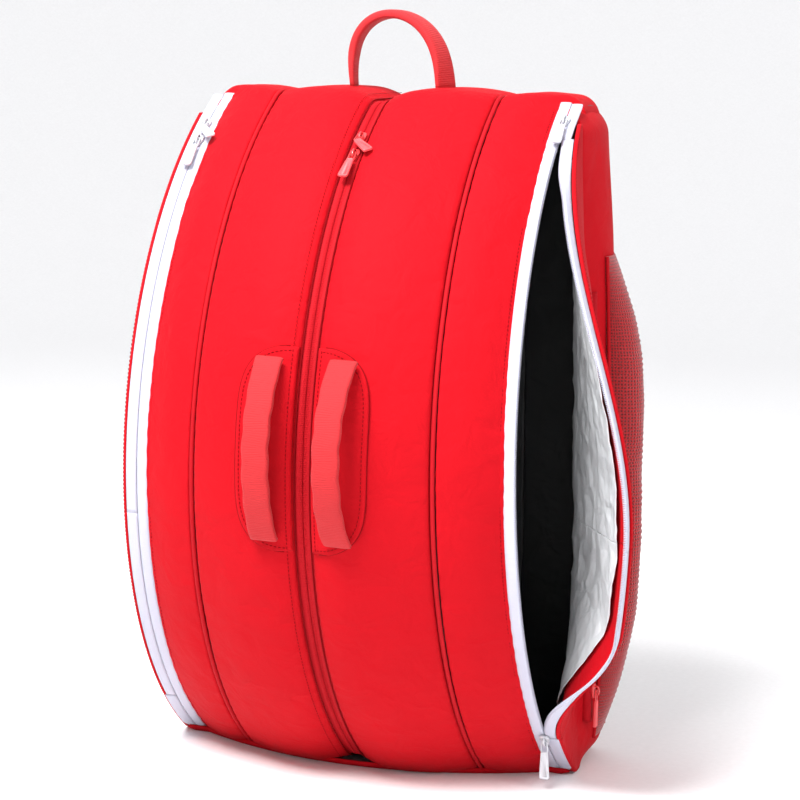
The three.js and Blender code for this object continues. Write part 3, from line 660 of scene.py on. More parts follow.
def finish(kind):
    """The bag's materials, each made once."""
    if kind in FINISHES:
        return FINISHES[kind]
    tones = bpy.context.scene.bag_colours
    fabric, webbing, trim = list(tones.fabric), list(tones.webbing), list(tones.trim)
    white, inside = list(tones.zip_tape), list(tones.inside)
    makers = {
        # tight 600 denier weave with a matte coating: an even red with a slight bloom at the edges
        "coated_woven_polyester": (cloth_material, fabric, dict(
            spacing=1.3, rough=0.72, sheen=0.01, bump=0.05, mottle=0.10, slack=3.4, gloss=0.08)),
        # ribbed ribbon weave: cross ribs catch the light and make it look paler than the body
        "grosgrain_webbing": (cloth_material, webbing, dict(
            spacing=1.1, rough=0.74, sheen=0.06, bump=0.06, mottle=0.10, ribs=1.9, gloss=0.2)),
        # narrow bias tape and coil zip: plain dyed polyester
        "bias_piping": (cloth_material, trim, dict(
            spacing=1.0, rough=0.7, sheen=0.0, bump=0.04, mottle=0.12, gloss=0.12)),
        "red_twill_zip_tape": (cloth_material, trim, dict(
            spacing=1.1, rough=0.7, sheen=0.0, bump=0.04, mottle=0.08, ribs=1.5, gloss=0.12)),
        "white_twill_zip_tape": (cloth_material, white, dict(
            spacing=1.1, rough=0.6, sheen=0.08, bump=0.035, mottle=0.03, ribs=1.6)),
        "black_taffeta_lining": (cloth_material, inside, dict(
            spacing=1.2, rough=0.6, sheen=0.1, bump=0.03, mottle=0.3, slack=3.0)),
        "black_webbing": (cloth_material, hex_colour("#17171A"), dict(
            spacing=1.2, rough=0.7, sheen=0.2, bump=0.06, mottle=0.2, ribs=2.0)),
        "foil_laminate_lining": (foil_material, list(tones.lining), {}),
        "black_spacer_mesh": (mesh_material, hex_colour("#1B1B1E"), dict(
            cell_mm=3.4, rough=0.85, hole_share=0.42)),
        "red_rib_mesh": (mesh_material, [c * 0.85 for c in fabric], dict(
            cell_mm=3.0, rough=0.75, hole_share=0.40)),
        "white_polyester_coil": (plastic_material, white, dict(rough=0.42, grain_mm=0.8, bump=0.02)),
        "polyester_thread": (plastic_material, [c * 0.45 for c in fabric], dict(
            rough=0.8, grain_mm=0.5, bump=0.02, gloss=0.08)),
        "black_polyester_thread": (plastic_material, [0.05] * 3, dict(rough=0.7, grain_mm=0.5, bump=0.02)),
        "black_acetal": (plastic_material, hex_colour("#141416"), dict(rough=0.38, grain_mm=0.7, bump=0.03)),
        "white_enamelled_zinc": (plastic_material, hex_colour("#C9CBD2"), dict(
            rough=0.28, grain_mm=1.2, bump=0.02, coat=0.3)),
        "red_enamelled_zinc": (plastic_material, hex_colour("#E23C40"), dict(
            rough=0.3, grain_mm=1.2, bump=0.02, coat=0.3)),
        "white_moulded_rubber": (plastic_material, hex_colour("#D2D4DA"), dict(
            rough=0.52, grain_mm=0.6, bump=0.04)),
        "red_moulded_rubber": (plastic_material, hex_colour("#F0555A"), dict(
            rough=0.5, grain_mm=0.6, bump=0.04)),
        "pale_studio_floor": (plastic_material, hex_colour("#FBFBFC"), dict(
            rough=0.8, grain_mm=4.0, bump=0.02)),
    }
    maker, tone, settings = makers[kind]
    FINISHES[kind] = maker(kind, tone, **settings)
    return FINISHES[kind]


FINISHES = {}


def form():
    return BagForm(bpy.context.scene.bag_sizes)


def place(obj, body, nodes=(), slot=None, padding=None):
    """Rides a finished piece on its body and hides the frame nodes it stands for."""
    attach(obj, body)
    if nodes:
        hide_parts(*nodes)
    return obj


# ------------------------------------------------------------------ the sewn body
TOP_EDGE_HALF = 174.0
TAPE_SHOWN = 8.2
SEAM_GAP = PIPING + 0.2
PANEL_NEAR = CENTRE_TAPE + 1.2
TURN_IN = 0.6
FORWARD = (0, -1, 0)
STITCH_SIZE = (2.6, 0.7, 0.6)
COIL_SIZE = (1.0, 3.0, 1.9)


def gusset_edge(bag, s):
    """Where a gusset ends: at the zip tape on the front, at the shoulder seam on the top."""
    z = np.minimum(bag.height_at(s), bag.top_z)
    front = bag.zip_half(z) - TAPE_SHOWN - GAP
    t = smooth((s - bag.s_top) / 30)
    return front + (TOP_EDGE_HALF - front) * t


def seam_line(bag, s):
    return bag.seam(np.minimum(bag.height_at(s), bag.top_z))


def front_grid(bag, sign, near, far, s, cols, lift):
    """Points of a strip of the front; near and far are its edges at each s, lift(x, s, d) its padding."""
    u = eased(cols, 0.6)[None, :]
    x = near[:, None] + (far - near)[:, None] * u
    distance = np.minimum(x - near[:, None], far[:, None] - x)
    rows = np.broadcast_to(s[:, None], x.shape)
    return bag.on_front(sign * x, rows, lift(x, rows, distance))


def puckers(along, distance, seed, depth=0.45, wave=12.0):
    """Small gathers that a seam pulls into the cloth beside it."""
    drift = 2.2 * np.sin(along / 37 + seed) + 1.1 * np.sin(along / 17 + 2 * seed)
    return depth * np.sin(2 * np.pi * along / wave + drift) * np.exp(-distance / 10)


def sew_front():
    bag = form()
    fabric, lining = finish("coated_woven_polyester"), finish("black_taffeta_lining")
    s = np.linspace(2, bag.s_end, 240)
    for side, sign in SIDES:
        near = np.full_like(s, PANEL_NEAR)
        far = seam_line(bag, s) - SEAM_GAP

        def crown(x, at, d, sign=sign):
            dents = unevenness(grid(sign * x, at, 0 * x), (60, 110, 60), 3 + sign)
            return (bag.panel_lift(x, at) + 1.1 * dents - roll(d) + puckers(at, d, sign)
                    + 1.6 * smooth((at - bag.s_top) / 60) * np.sin(np.pi * (x - PANEL_NEAR) / 95))

        outer = front_grid(bag, sign, near, far, s, 44, crown)
        inner = front_grid(bag, sign, near + TURN_IN, far - TURN_IN, s, 44,
                           lambda x, at, d: bag.panel_lift(x, at) - WALL)
        place(shell(f"front_{side}_panel_padded", outer, inner, [fabric, lining]), "bag",
              [f"front_{side}_panel"], "red_polyester", 0.7)

        near, far = seam_line(bag, s) + SEAM_GAP, gusset_edge(bag, s)

        def shoulder(x, at, far=far):
            return smooth((at - bag.s_top) / 26) * roll(far[:, None] - x, 20)

        def belly(x, at, d, near=near, far=far, sign=sign, shoulder=shoulder):
            share = (x - near[:, None]) / (far - near)[:, None]
            dents = unevenness(grid(sign * x, at, 0 * x), (45, 80, 60), 9 + sign)
            return (3.4 * np.sin(np.pi * share) + 1.3 * dents - roll(d, 3)
                    + puckers(at, d, 2 + sign, 0.35, 15) - shoulder(x, at))

        outer = front_grid(bag, sign, near, far, s, 36, belly)
        inner = front_grid(bag, sign, near + TURN_IN, far - TURN_IN, s, 36,
                           lambda x, at, d: -WALL - shoulder(x, at))
        place(shell(f"{side}_gusset_padded", outer, inner, [fabric, lining]), "bag",
              [f"{side}_gusset"], "red_polyester", 0.6)

        t = np.linspace(4, bag.s_end - 6, 260)
        path = bag.on_front(sign * seam_line(bag, t), t, -1.4)
        facing = bag.on_front(sign * seam_line(bag, t), t, 1.0) - path
        cord = swept(f"{side}_piping_cord", path, facing, 2 * PIPING, 2 * PIPING, finish("bias_piping"),
                     1.0, 12)
        place(cord, "bag", [f"{side}_piping"], "dark_red_trim")
    sew_top(bag)


def sew_top(bag):
    """The top is cut in one with the panels, so the top panel's own piece is its lining board."""
    x = np.linspace(-TOP_EDGE_HALF + 4, TOP_EDGE_HALF - 4, 40)[None, :]
    y = np.linspace(0, 1, 16)[:, None]
    front = bag.y_top + bag.bow(x / bag.zip_top) + 8
    rows = front * (1 - y) - 8 * y
    z = bag.top_z + TOP_CROWN * np.sin(np.pi * np.clip(y, 0.05, 0.95)) ** 0.7 - 7
    top = grid(x, rows, z)
    low = top - np.array([0, 0, 2.0])
    board = shell("top_lining_board", top, low, [finish("black_taffeta_lining")])
    place(board, "bag", ["top_panel"], "red_polyester", 0.3)

    share = np.linspace(-1, 1, 50)[None, :]
    v = eased(24, 0.5)[:, None]
    x = share * (bag.zip_half(0) + 9 - 22 * smooth((v - 0.1) / 0.4))
    front = bag.front_y(FOOT_Z) + bag.bow(x / bag.zip_half(0)) + 3
    y = front * (1 - v) - 4 * v
    edge = np.minimum((1 - np.abs(share)) * bag.zip_half(0), np.minimum(y - front, -4 - y))
    outer = grid(x, y, roll(edge, 3))
    inner = grid(x * 0.985, y, 6.0)
    cloths = [finish("coated_woven_polyester"), finish("black_taffeta_lining")]
    place(shell("base_padded", outer, inner, cloths), "bag", ["base_panel"], "red_polyester", 0.5)


def zip_y(bag, z):
    return bag.front_y(np.minimum(z, bag.top_z), bag.radius - GAP) + bag.bow_depth


def side_front(bag, z):
    """Front edge of a side panel: up the zip, along the flap's foot, then up the fold."""
    heel = float(zip_y(bag, np.array(HEEL_Z)))
    t = np.clip((z - HEEL_Z) / (HINGE_FOOT[1] - HEEL_Z), 0, 1)
    low = np.where(z < HEEL_Z, zip_y(bag, z), heel + (HINGE_FOOT[0] - heel) * t)
    return np.where(z < HINGE_FOOT[1], low, np.maximum(bag.hinge_y(z), zip_y(bag, z)))


def side_grid(bag, sign, inset, rows, cols, dents):
    """A side panel: flat in front, bellied behind, turned in at the top and round the back edge."""
    straight = bag.top_z - TOP_ROUND
    arc_top = TOP_ROUND * math.radians(72)
    path = np.linspace(2, straight + arc_top, rows)
    low = np.sort(np.append(path, [HEEL_Z, HINGE_FOOT[1]]))
    turn = np.clip(low - straight, 0, None) / TOP_ROUND
    z = np.minimum(low, straight) + (TOP_ROUND - inset) * np.sin(turn)
    tuck = TOP_ROUND * (1 - np.cos(turn))
    front = side_front(bag, z)
    arc_back = BACK_ROUND * math.pi / 2
    u = np.linspace(0, 1, cols)[None, :]
    reach = (-BACK_ROUND - front + arc_back)[:, None]
    run = front[:, None] + u * reach
    bend = np.clip(run + BACK_ROUND, 0, None) / BACK_ROUND
    y = np.minimum(run, -BACK_ROUND) + (BACK_ROUND - inset) * np.sin(bend)
    zz = np.broadcast_to(z[:, None], y.shape)
    behind = run - front[:, None]
    x = (bag.side_x(zz) + bag.bulge(y, zz) - inset - tuck[:, None]
         - (BACK_ROUND - inset) * (1 - np.cos(bend))
         - roll(zz, 2) - smooth(behind / 60) * roll(zz, 26) - roll(behind, 1.0))
    points = grid(sign * x, y, zz)
    if dents:
        calm = smooth(behind / 30) * smooth((580 - zz) / 40)
        points[..., 0] += sign * calm * 1.6 * unevenness(points, (60, 60, 90), 20 + sign)
    return points


def sew_sides():
    bag = form()
    fabric, lining = finish("coated_woven_polyester"), finish("black_taffeta_lining")
    for side, sign in SIDES:
        outer = side_grid(bag, sign, 0.0, 180, 44, True)
        inner = side_grid(bag, sign, SIDE_WALL, 180, 44, False)
        place(shell(f"{side}_side_padded", outer, inner, [fabric, lining]), "bag",
              [f"{side}_side_panel"], "red_polyester", 0.5)

        z = np.linspace(7, bag.top_z - 3, 60)[:, None]
        t = np.linspace(0, 1, 24)[None, :]
        y = (bag.front_y(z, bag.radius - WALL - 1.5) + bag.bow(SEAM_SHARE)) * (1 - t) - 8 * t
        x = bag.seam(z) + 3 * unevenness(grid(0 * y, y, z), (1, 90, 120), 31)
        wall = grid(sign * x, y, z)
        divider = shell(f"{side}_divider_lined", wall, wall + np.array([2.5, 0, 0]), [lining])
        place(divider, "bag", [f"{side}_divider"], "black_lining", 0.2)

    z = np.linspace(2, bag.top_z - 4, 120)[:, None]
    half = bag.side_x(z) + bag.bulge(np.full_like(z, -8.0), z) - BACK_ROUND + 3
    half = half - 14 * smooth((z - bag.top_z + 26) / 26)
    half = half - 0.8 * roll(z, 26)
    x = half * (2 * eased(70, 0.4) - 1)[None, :]
    edge = np.minimum(half - np.abs(x), np.minimum(z, bag.top_z - 4 - z))
    flat = grid(x, 0 * x, z)
    y = -0.4 - roll(edge, 3) - 0.9 * (1 + unevenness(flat, (80, 60, 110), 41)).clip(0, 2)
    outer = grid(x, y, z)
    inner = grid(x, -8.0 + 0 * x, z)
    back = shell("back_padded", outer, inner, [fabric, lining])
    place(back, "bag", ["back_panel"], "red_polyester", 0.6)


# ------------------------------------------------------------------ flaps that open along a side zip
def fold_ends(bag, sign):
    foot = np.array([sign * bag.side_x(HINGE_FOOT[1]), HINGE_FOOT[0], HINGE_FOOT[1]])
    top = np.array([sign * bag.side_x(HINGE_TOP[1]), HINGE_TOP[0], HINGE_TOP[1]])
    return foot, top


def bend_range(bag, sign, part):
    """Between these points a flap goes from staying with the body to following its fold."""
    x = sign * bag.side_x(HINGE_FOOT[1])
    if part == "upper":
        return np.array([x, -90.0, 700.0]), np.array([x, -90.0, FLAP_SPLIT_Z])
    heel = np.array([float(zip_y(bag, np.array(HEEL_Z))), HEEL_Z])
    along = np.array(HINGE_FOOT) - heel
    along /= np.linalg.norm(along)
    across = np.array([-along[1], along[0]])
    start = np.array([x, *heel])
    return start, start + 125.0 * np.array([0, *across])


def opened(bag, sign, part, points):
    """Closed points of a flap, folded open as the right one stands; the left one stays closed."""
    if sign < 0:
        return points
    foot, top = fold_ends(bag, sign)
    axis = (top - foot) / np.linalg.norm(top - foot)
    start, end = bend_range(bag, sign, part)
    way = end - start
    arm = points - foot
    made = points
    for _ in range(40):
        w = smooth(((made - start) @ way) / (way @ way))[..., None]
        a = FLAP_ANGLE * w
        made = (foot + arm * np.cos(a) + np.cross(axis, arm) * np.sin(a)
                + (arm @ axis)[..., None] * axis * (1 - np.cos(a)))
    return made


def bend(bag, obj, side, sign, part, nodes=(), slot=None):
    start, end = bend_range(bag, sign, part)
    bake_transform(obj)
    if nodes:
        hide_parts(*nodes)
    return obj


def flap_rows(bag, part, rows, cols, front_inset=0.0, back_inset=0.0, low_inset=0.0, high=578.0):
    """Heights and depths of a flap's grid, from the lip (first column) back to the fold."""
    u = np.linspace(0, 1, cols)[None, :]
    v = np.linspace(0, 1, rows)[:, None]
    if part == "lower":
        low = HEEL_Z + low_inset + (HINGE_FOOT[1] - HEEL_Z) * u
        z = low + (FLAP_SPLIT_Z - low) * v
    else:
        z = FLAP_SPLIT_Z + (high - FLAP_SPLIT_Z) * v + 0 * u
    lip = zip_y(bag, z) + front_inset
    fold = np.maximum(bag.hinge_y(z), side_front(bag, z)) - back_inset
    y = lip + (fold - lip) * u
    if part == "lower":
        heel = float(zip_y(bag, np.array(HEEL_Z))) + front_inset
        y = y + (1 - v) ** 3 * (heel + (HINGE_FOOT[0] - back_inset - heel) * u - y[:1])
    return y, z


OPEN_TAPE_CURL = math.radians(62)
TAPE_TOP_Z = 566.0
HEM = 26.0


def sew_flaps():
    bag = form()
    fabric = finish("coated_woven_polyester")
    thread = finish("polyester_thread")
    for side, sign in SIDES:
        for part, rows in (("lower", 70), ("upper", 120)):
            first = part == "upper"
            y, z = flap_rows(bag, part, rows, 50)
            lip = zip_y(bag, z)
            fold = np.maximum(bag.hinge_y(z), side_front(bag, z))
            share = np.clip((y - lip) / np.maximum(fold - lip, 0.5), 0, 1)
            width = np.maximum(fold - lip, 1)
            swell = 3.0 * np.sin(np.pi * share) * np.clip(width / 90, 0, 1)
            flat = grid(0 * y, y, z)
            calm = np.clip(width / 60, 0, 1) * np.sin(np.pi * np.clip(share, 0.02, 1)) ** 0.5
            dents = 1.5 * unevenness(flat, (60, 55, 80), 51 + sign) * calm
            x = bag.side_x(z) + swell + dents - roll(y - lip, 1.5)
            outer = opened(bag, sign, part, grid(sign * x, y, z))
            inner = opened(bag, sign, part, grid(sign * (bag.side_x(z) - SIDE_WALL + 0.3), y, z))
            panel = shell(f"{side}_flap_{part}", outer, inner, [fabric])
            bend(bag, panel, side, sign, part, [f"{side}_flap"] if first else (), "red_polyester")

            y, z = flap_rows(bag, part, rows * 2, 64, HEM, 3.0, 10.0, 548.0)
            flat = grid(0 * y, y, z)
            creases = 1 - 2 * np.abs(unevenness(flat, (30, 26, 44), 61, 3))
            x = bag.side_x(z) - SIDE_WALL - 1.6 - 1.5 * (1 + creases)
            face = grid(sign * x, y, z)
            under = face + np.array([sign * 0.7, 0, 0])
            sheet = shell(f"{side}_flap_lining_{part}", opened(bag, sign, part, face),
                          opened(bag, sign, part, under), [finish("foil_laminate_lining")])
            bend(bag, sheet, side, sign, part, [f"{side}_flap_lining"] if first else (), "silver_lining")

            low, high, count = (FLAP_SPLIT_Z, TAPE_TOP_Z, 90) if first else (HEEL_Z + 1, FLAP_SPLIT_Z, 60)
            s = np.linspace(bag.s_at(low), bag.s_at(high), count)
            z1 = bag.height_at(s)
            far = bag.zip_half(z1) + GAP + TAPE
            curl = OPEN_TAPE_CURL * smooth((z1 - 60) / 70) * smooth((560 - z1) / 50) * (sign > 0)
            tape = tape_strip(bag, sign, s, far - TAPE, far, -GAP, curl=curl)
            strip = shell(f"{side}_outer_zip_tape_{part}", opened(bag, sign, part, tape[0]),
                          opened(bag, sign, part, tape[1]), [finish("white_twill_zip_tape")])
            bend(bag, strip, side, sign, part, [f"{side}_zip_tape_outer"] if first else (), "white_zip_tape")

            reach = TAPE - 0.4
            edge = bag.on_front(sign * (far - reach * np.cos(curl) - 1.9 * np.sin(curl)), s,
                                -GAP + reach * np.sin(curl) - 1.9 * np.cos(curl))
            coil = repeat_along(f"{side}_outer_coil_{part}", [opened(bag, sign, part, edge)], [FORWARD],
                                bag.coil_pitch, COIL_SIZE, finish("white_polyester_coil"))
            bend(bag, coil, side, sign, part)

            row = grid(sign * (bag.side_x(z1) + 0.3), zip_y(bag, z1) + 3.2, z1)
            stitches = repeat_along(f"{side}_flap_stitches_{part}", [opened(bag, sign, part, row)],
                                    [(sign, 0, 0)], bag.stitch, STITCH_SIZE, thread)
            bend(bag, stitches, side, sign, part)


# ------------------------------------------------------------------ zips
def tape_strip(bag, sign, s, near, far, lift, cols=6, curl=0.0):
    """Front and rear faces of a zip tape between two lines; curl turns it forward about its far edge."""
    u = np.linspace(0, 1, cols)[None, :]
    back = (far - near)[:, None] * (1 - u)
    turn = np.broadcast_to(curl, s.shape)[:, None]
    x = far[:, None] - back * np.cos(turn)
    out = lift + back * np.sin(turn) + 0.35 * np.sin(np.pi * u)
    rows = np.broadcast_to(s[:, None], x.shape)
    front = bag.on_front(sign * x, rows, out)
    return front, bag.on_front(sign * (x - TAPE_THICK * np.sin(turn)), rows, out - TAPE_THICK * np.cos(turn))


def sew_zips():
    bag = form()
    white, red = finish("white_twill_zip_tape"), finish("red_twill_zip_tape")
    coil, thread = finish("white_polyester_coil"), finish("polyester_thread")
    for side, sign in SIDES:
        s = np.linspace(3, bag.s_end - 14, 220)
        tape = tape_strip(bag, sign, s, np.full_like(s, 0.25), np.full_like(s, CENTRE_TAPE + 2.6), -ZIP_RECESS)
        half = shell(f"centre_zip_{side}_tape", *tape, [red])
        place(half, "bag", [f"centre_zip_tape_{side}"], "dark_red_trim")
        # A thin cord in dark thread colour along each edge of the centre zip: the panel's turned edge is real,
        # its dark colour is a painted shadow line in the gap beside the tape.
        edge = sign * (PANEL_NEAR - 0.4)
        fold = bag.on_front(edge, s, -5.6)
        way = bag.on_front(edge, s, -4.6) - fold
        place(swept(f"centre_zip_{side}_fold", fold, way, 1.3, 1.3, thread, 1.0, 8), "bag")
        line = bag.on_front(sign * 1.9, s, -ZIP_RECESS + 0.15)
        ribs = repeat_along(f"centre_coil_{side}", [line], [FORWARD], bag.coil_pitch, (0.9, 3.2, 0.9), red)
        place(ribs, "bag")

        # the half sewn to the gusset, then the one sewn to the side: below the flap's heel and above its top
        inner = ("inner", 3, bag.s_top + 9, 180, -GAP - TAPE, -GAP, [f"{side}_zip_tape_inner"])
        tail = ("tail", 3, bag.s_at(HEEL_Z), 24, GAP, GAP + TAPE + 2, [f"{side}_zip_tape_tail"])
        top = ("top", bag.s_at(TAPE_TOP_Z), bag.s_top + 6, 20, GAP, GAP + TAPE, ())
        for part, first, last, count, near, far, nodes in (inner, tail, top):
            s = np.linspace(first, last, count)
            middle = bag.zip_half(np.minimum(bag.height_at(s), bag.top_z))
            tape = tape_strip(bag, sign, s, middle + near, middle + far, -GAP)
            place(shell(f"{side}_{part}_zip_tape", *tape, [white]), "bag", nodes, "white_zip_tape")
            if part == "inner":
                edge = bag.on_front(sign * (middle - GAP - 0.4), s, -2.3)
                turns = repeat_along(f"{side}_inner_coil", [edge], [FORWARD], bag.coil_pitch, COIL_SIZE, coil)
                place(turns, "bag")

        s = np.linspace(8, bag.s_end - 24, 300)
        rows = []
        if sign < 0:
            beside = PANEL_NEAR + 6
            rows.append(bag.on_front(-beside, s, bag.panel_lift(beside + 0 * s, s) + 0.9))
        below = s[s < bag.s_top - 4]
        rows.append(bag.on_front(sign * (gusset_edge(bag, below) - 4), below, 0.55))
        seams = repeat_along(f"{side}_front_stitches", rows, [FORWARD] * len(rows), bag.stitch, STITCH_SIZE,
                             thread)
        place(seams, "bag")


# ------------------------------------------------------------------ sliders and pulls
SLIDER_LENGTH, SLIDER_WIDTH, SLIDER_PLATE = 13.0, 9.0, 2.2
EYE_LIFT = 3.8
BRIDGE_TOP = 6.8


def slider_body(name, matrix, material):
    half, tall = SLIDER_WIDTH / 2, SLIDER_LENGTH / 2
    outline = [(-half, 1.0), (-half * 0.95, tall * 0.75), (-half * 0.6, tall), (half * 0.6, tall),
               (half * 0.95, tall * 0.75), (half, 1.0), (half * 0.62, -tall * 0.8), (half * 0.45, -tall),
               (-half * 0.45, -tall), (-half * 0.62, -tall * 0.8)]
    body = plate(name, outline[::-1], SLIDER_PLATE, material,
                 matrix @ Matrix.Translation((0, -SLIDER_PLATE / 2, 0)), 0.5)
    t = np.linspace(0, math.pi, 20)
    reach = (SLIDER_LENGTH - 3) / 2 - 0.7
    path = grid(0 * t, -1.8 - (BRIDGE_TOP - 2.5) * np.sin(t) ** 0.6, -reach * np.cos(t))
    m = np.array(matrix)
    path = path @ m[:3, :3].T + m[:3, 3]
    facing = np.broadcast_to(m[:3, :3] @ np.array([1.0, 0, 0]), path.shape)
    bridge = swept(name + "_bridge", path, facing, 1.5, 2.0, material, 0.6, 12)
    return joined(name, [body, bridge])


def pull_tab(name, matrix, lean, metal, rubber):
    ring = [(x, 0, z) for x, z in rounded_outline(5.4, -10.0, 0.9, 2.2, 6)]
    m = np.array(matrix)
    path = np.array(ring) @ m[:3, :3].T + m[:3, 3]
    facing = np.broadcast_to(m[:3, :3] @ np.array([0, 1.0, 0]), path.shape)
    link = swept(name + "_link", path, facing, 1.4, 1.4, metal, 1.0, 10, closed=True)
    tab_matrix = matrix @ Matrix.Translation((0, 0, -9.0)) @ Matrix.Rotation(math.radians(lean), 4, "Y")
    tab = plate(name, rounded_outline(9.0, -24.0, 0.6, 2.0, 5, 1.2), 2.6, rubber, tab_matrix, 0.8, 3,
                (1.6, 0.35))
    return joined(name, [tab, link])


def fit_slider(name, tone, seat, lean, lift):
    """A slider with its pull, which leans sideways and lifts off the zip by these angles."""
    metal, rubber = finish(f"{tone}_enamelled_zinc"), finish(f"{tone}_moulded_rubber")
    place(slider_body(f"{name}_slider_cast", seat, metal), f"{name}_slider", [f"{name}_slider"],
          f"{tone}_zip_metal")
    eye = seat @ Matrix.Translation((0, -EYE_LIFT, 0)) @ Matrix.Rotation(-math.radians(lift), 4, "X")
    place(pull_tab(f"{name}_pull_tab", eye, lean, metal, rubber), f"{name}_pull", [f"{name}_pull"],
          f"{tone}_pull_rubber")


def on_bag(x, y, z):
    """Matrix that moves to a point of the frame, from metres in the frame to millimetres on the bag."""
    return Matrix.Translation(((x - CENTRE_X) / MM, (y - BACK_Y) / MM, z / MM))


def on_arc(bag, x_of, tilt, radius, phi):
    z = bag.arc_z + radius * math.sin(phi)
    x = x_of(z)
    y = bag.arc_y + float(bag.bow(x / bag.zip_half(z))) - radius * math.cos(phi)
    return (Matrix.Translation((x, y, z)) @ Matrix.Rotation(tilt, 4, "Y") @ Matrix.Rotation(-phi, 4, "X"))


def fit_sliders():
    bag = form()
    upper = bag.phi_top - 43 / bag.radius
    lower = upper - 22 / bag.radius
    mouth_top, mouth_foot = bag.phi(HINGE_TOP[1] - 5), bag.phi(HEEL_Z)
    side_r, centre_r = bag.radius + 0.2, bag.radius - ZIP_RECESS + GAP
    plan = (
        ("left_upper", lambda z: -bag.zip_half(z), FLARE, side_r, upper, -42, 15),
        ("left_lower", lambda z: -bag.zip_half(z), FLARE, side_r, lower, 0, 0),
        ("centre_upper", lambda z: 0.0, 0.0, centre_r, upper, -42, 15),
        ("centre_lower", lambda z: 0.0, 0.0, centre_r, lower, 0, 8),
        ("right_upper", bag.zip_half, -FLARE, side_r, mouth_top, 0, 0),
        ("right_lower", bag.zip_half, -FLARE, side_r, mouth_foot, 0, -math.degrees(mouth_foot)),
    )
    for name, x_of, tilt, radius, phi, lean, lift in plan:
        tone = "red" if name.startswith("centre") else "white"
        seat = on_arc(bag, x_of, tilt, radius, phi)
        fit_slider(name, tone, seat, lean, lift)
    low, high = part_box("pocket_slider")
    fit_slider("pocket", "red", on_bag(low.x, (low.y + high.y) / 2, (low.z + high.z) / 2)
               @ Matrix.Rotation(math.pi / 2, 4, "Z"), 0, 0)


# ------------------------------------------------------------------ handles and the carry loop
HANDLE_X = {"left": 30.0, "right": 35.0}
HANDLE_LIFT = {"left": 17.0, "right": 27.0}
HANDLE_Z = (237.0, 384.0)
PATCH_Z = (224.0, 396.0)
PATCH_X = (8.6, 58.0)
LOOP_Y, LOOP_FOOT_Z = -62, 604


def patch_corner(t):
    """Share of its width that a patch keeps, from its foot at -1 to its head at 1."""
    return np.sqrt(1 - np.abs(t) ** 5 * 0.98)


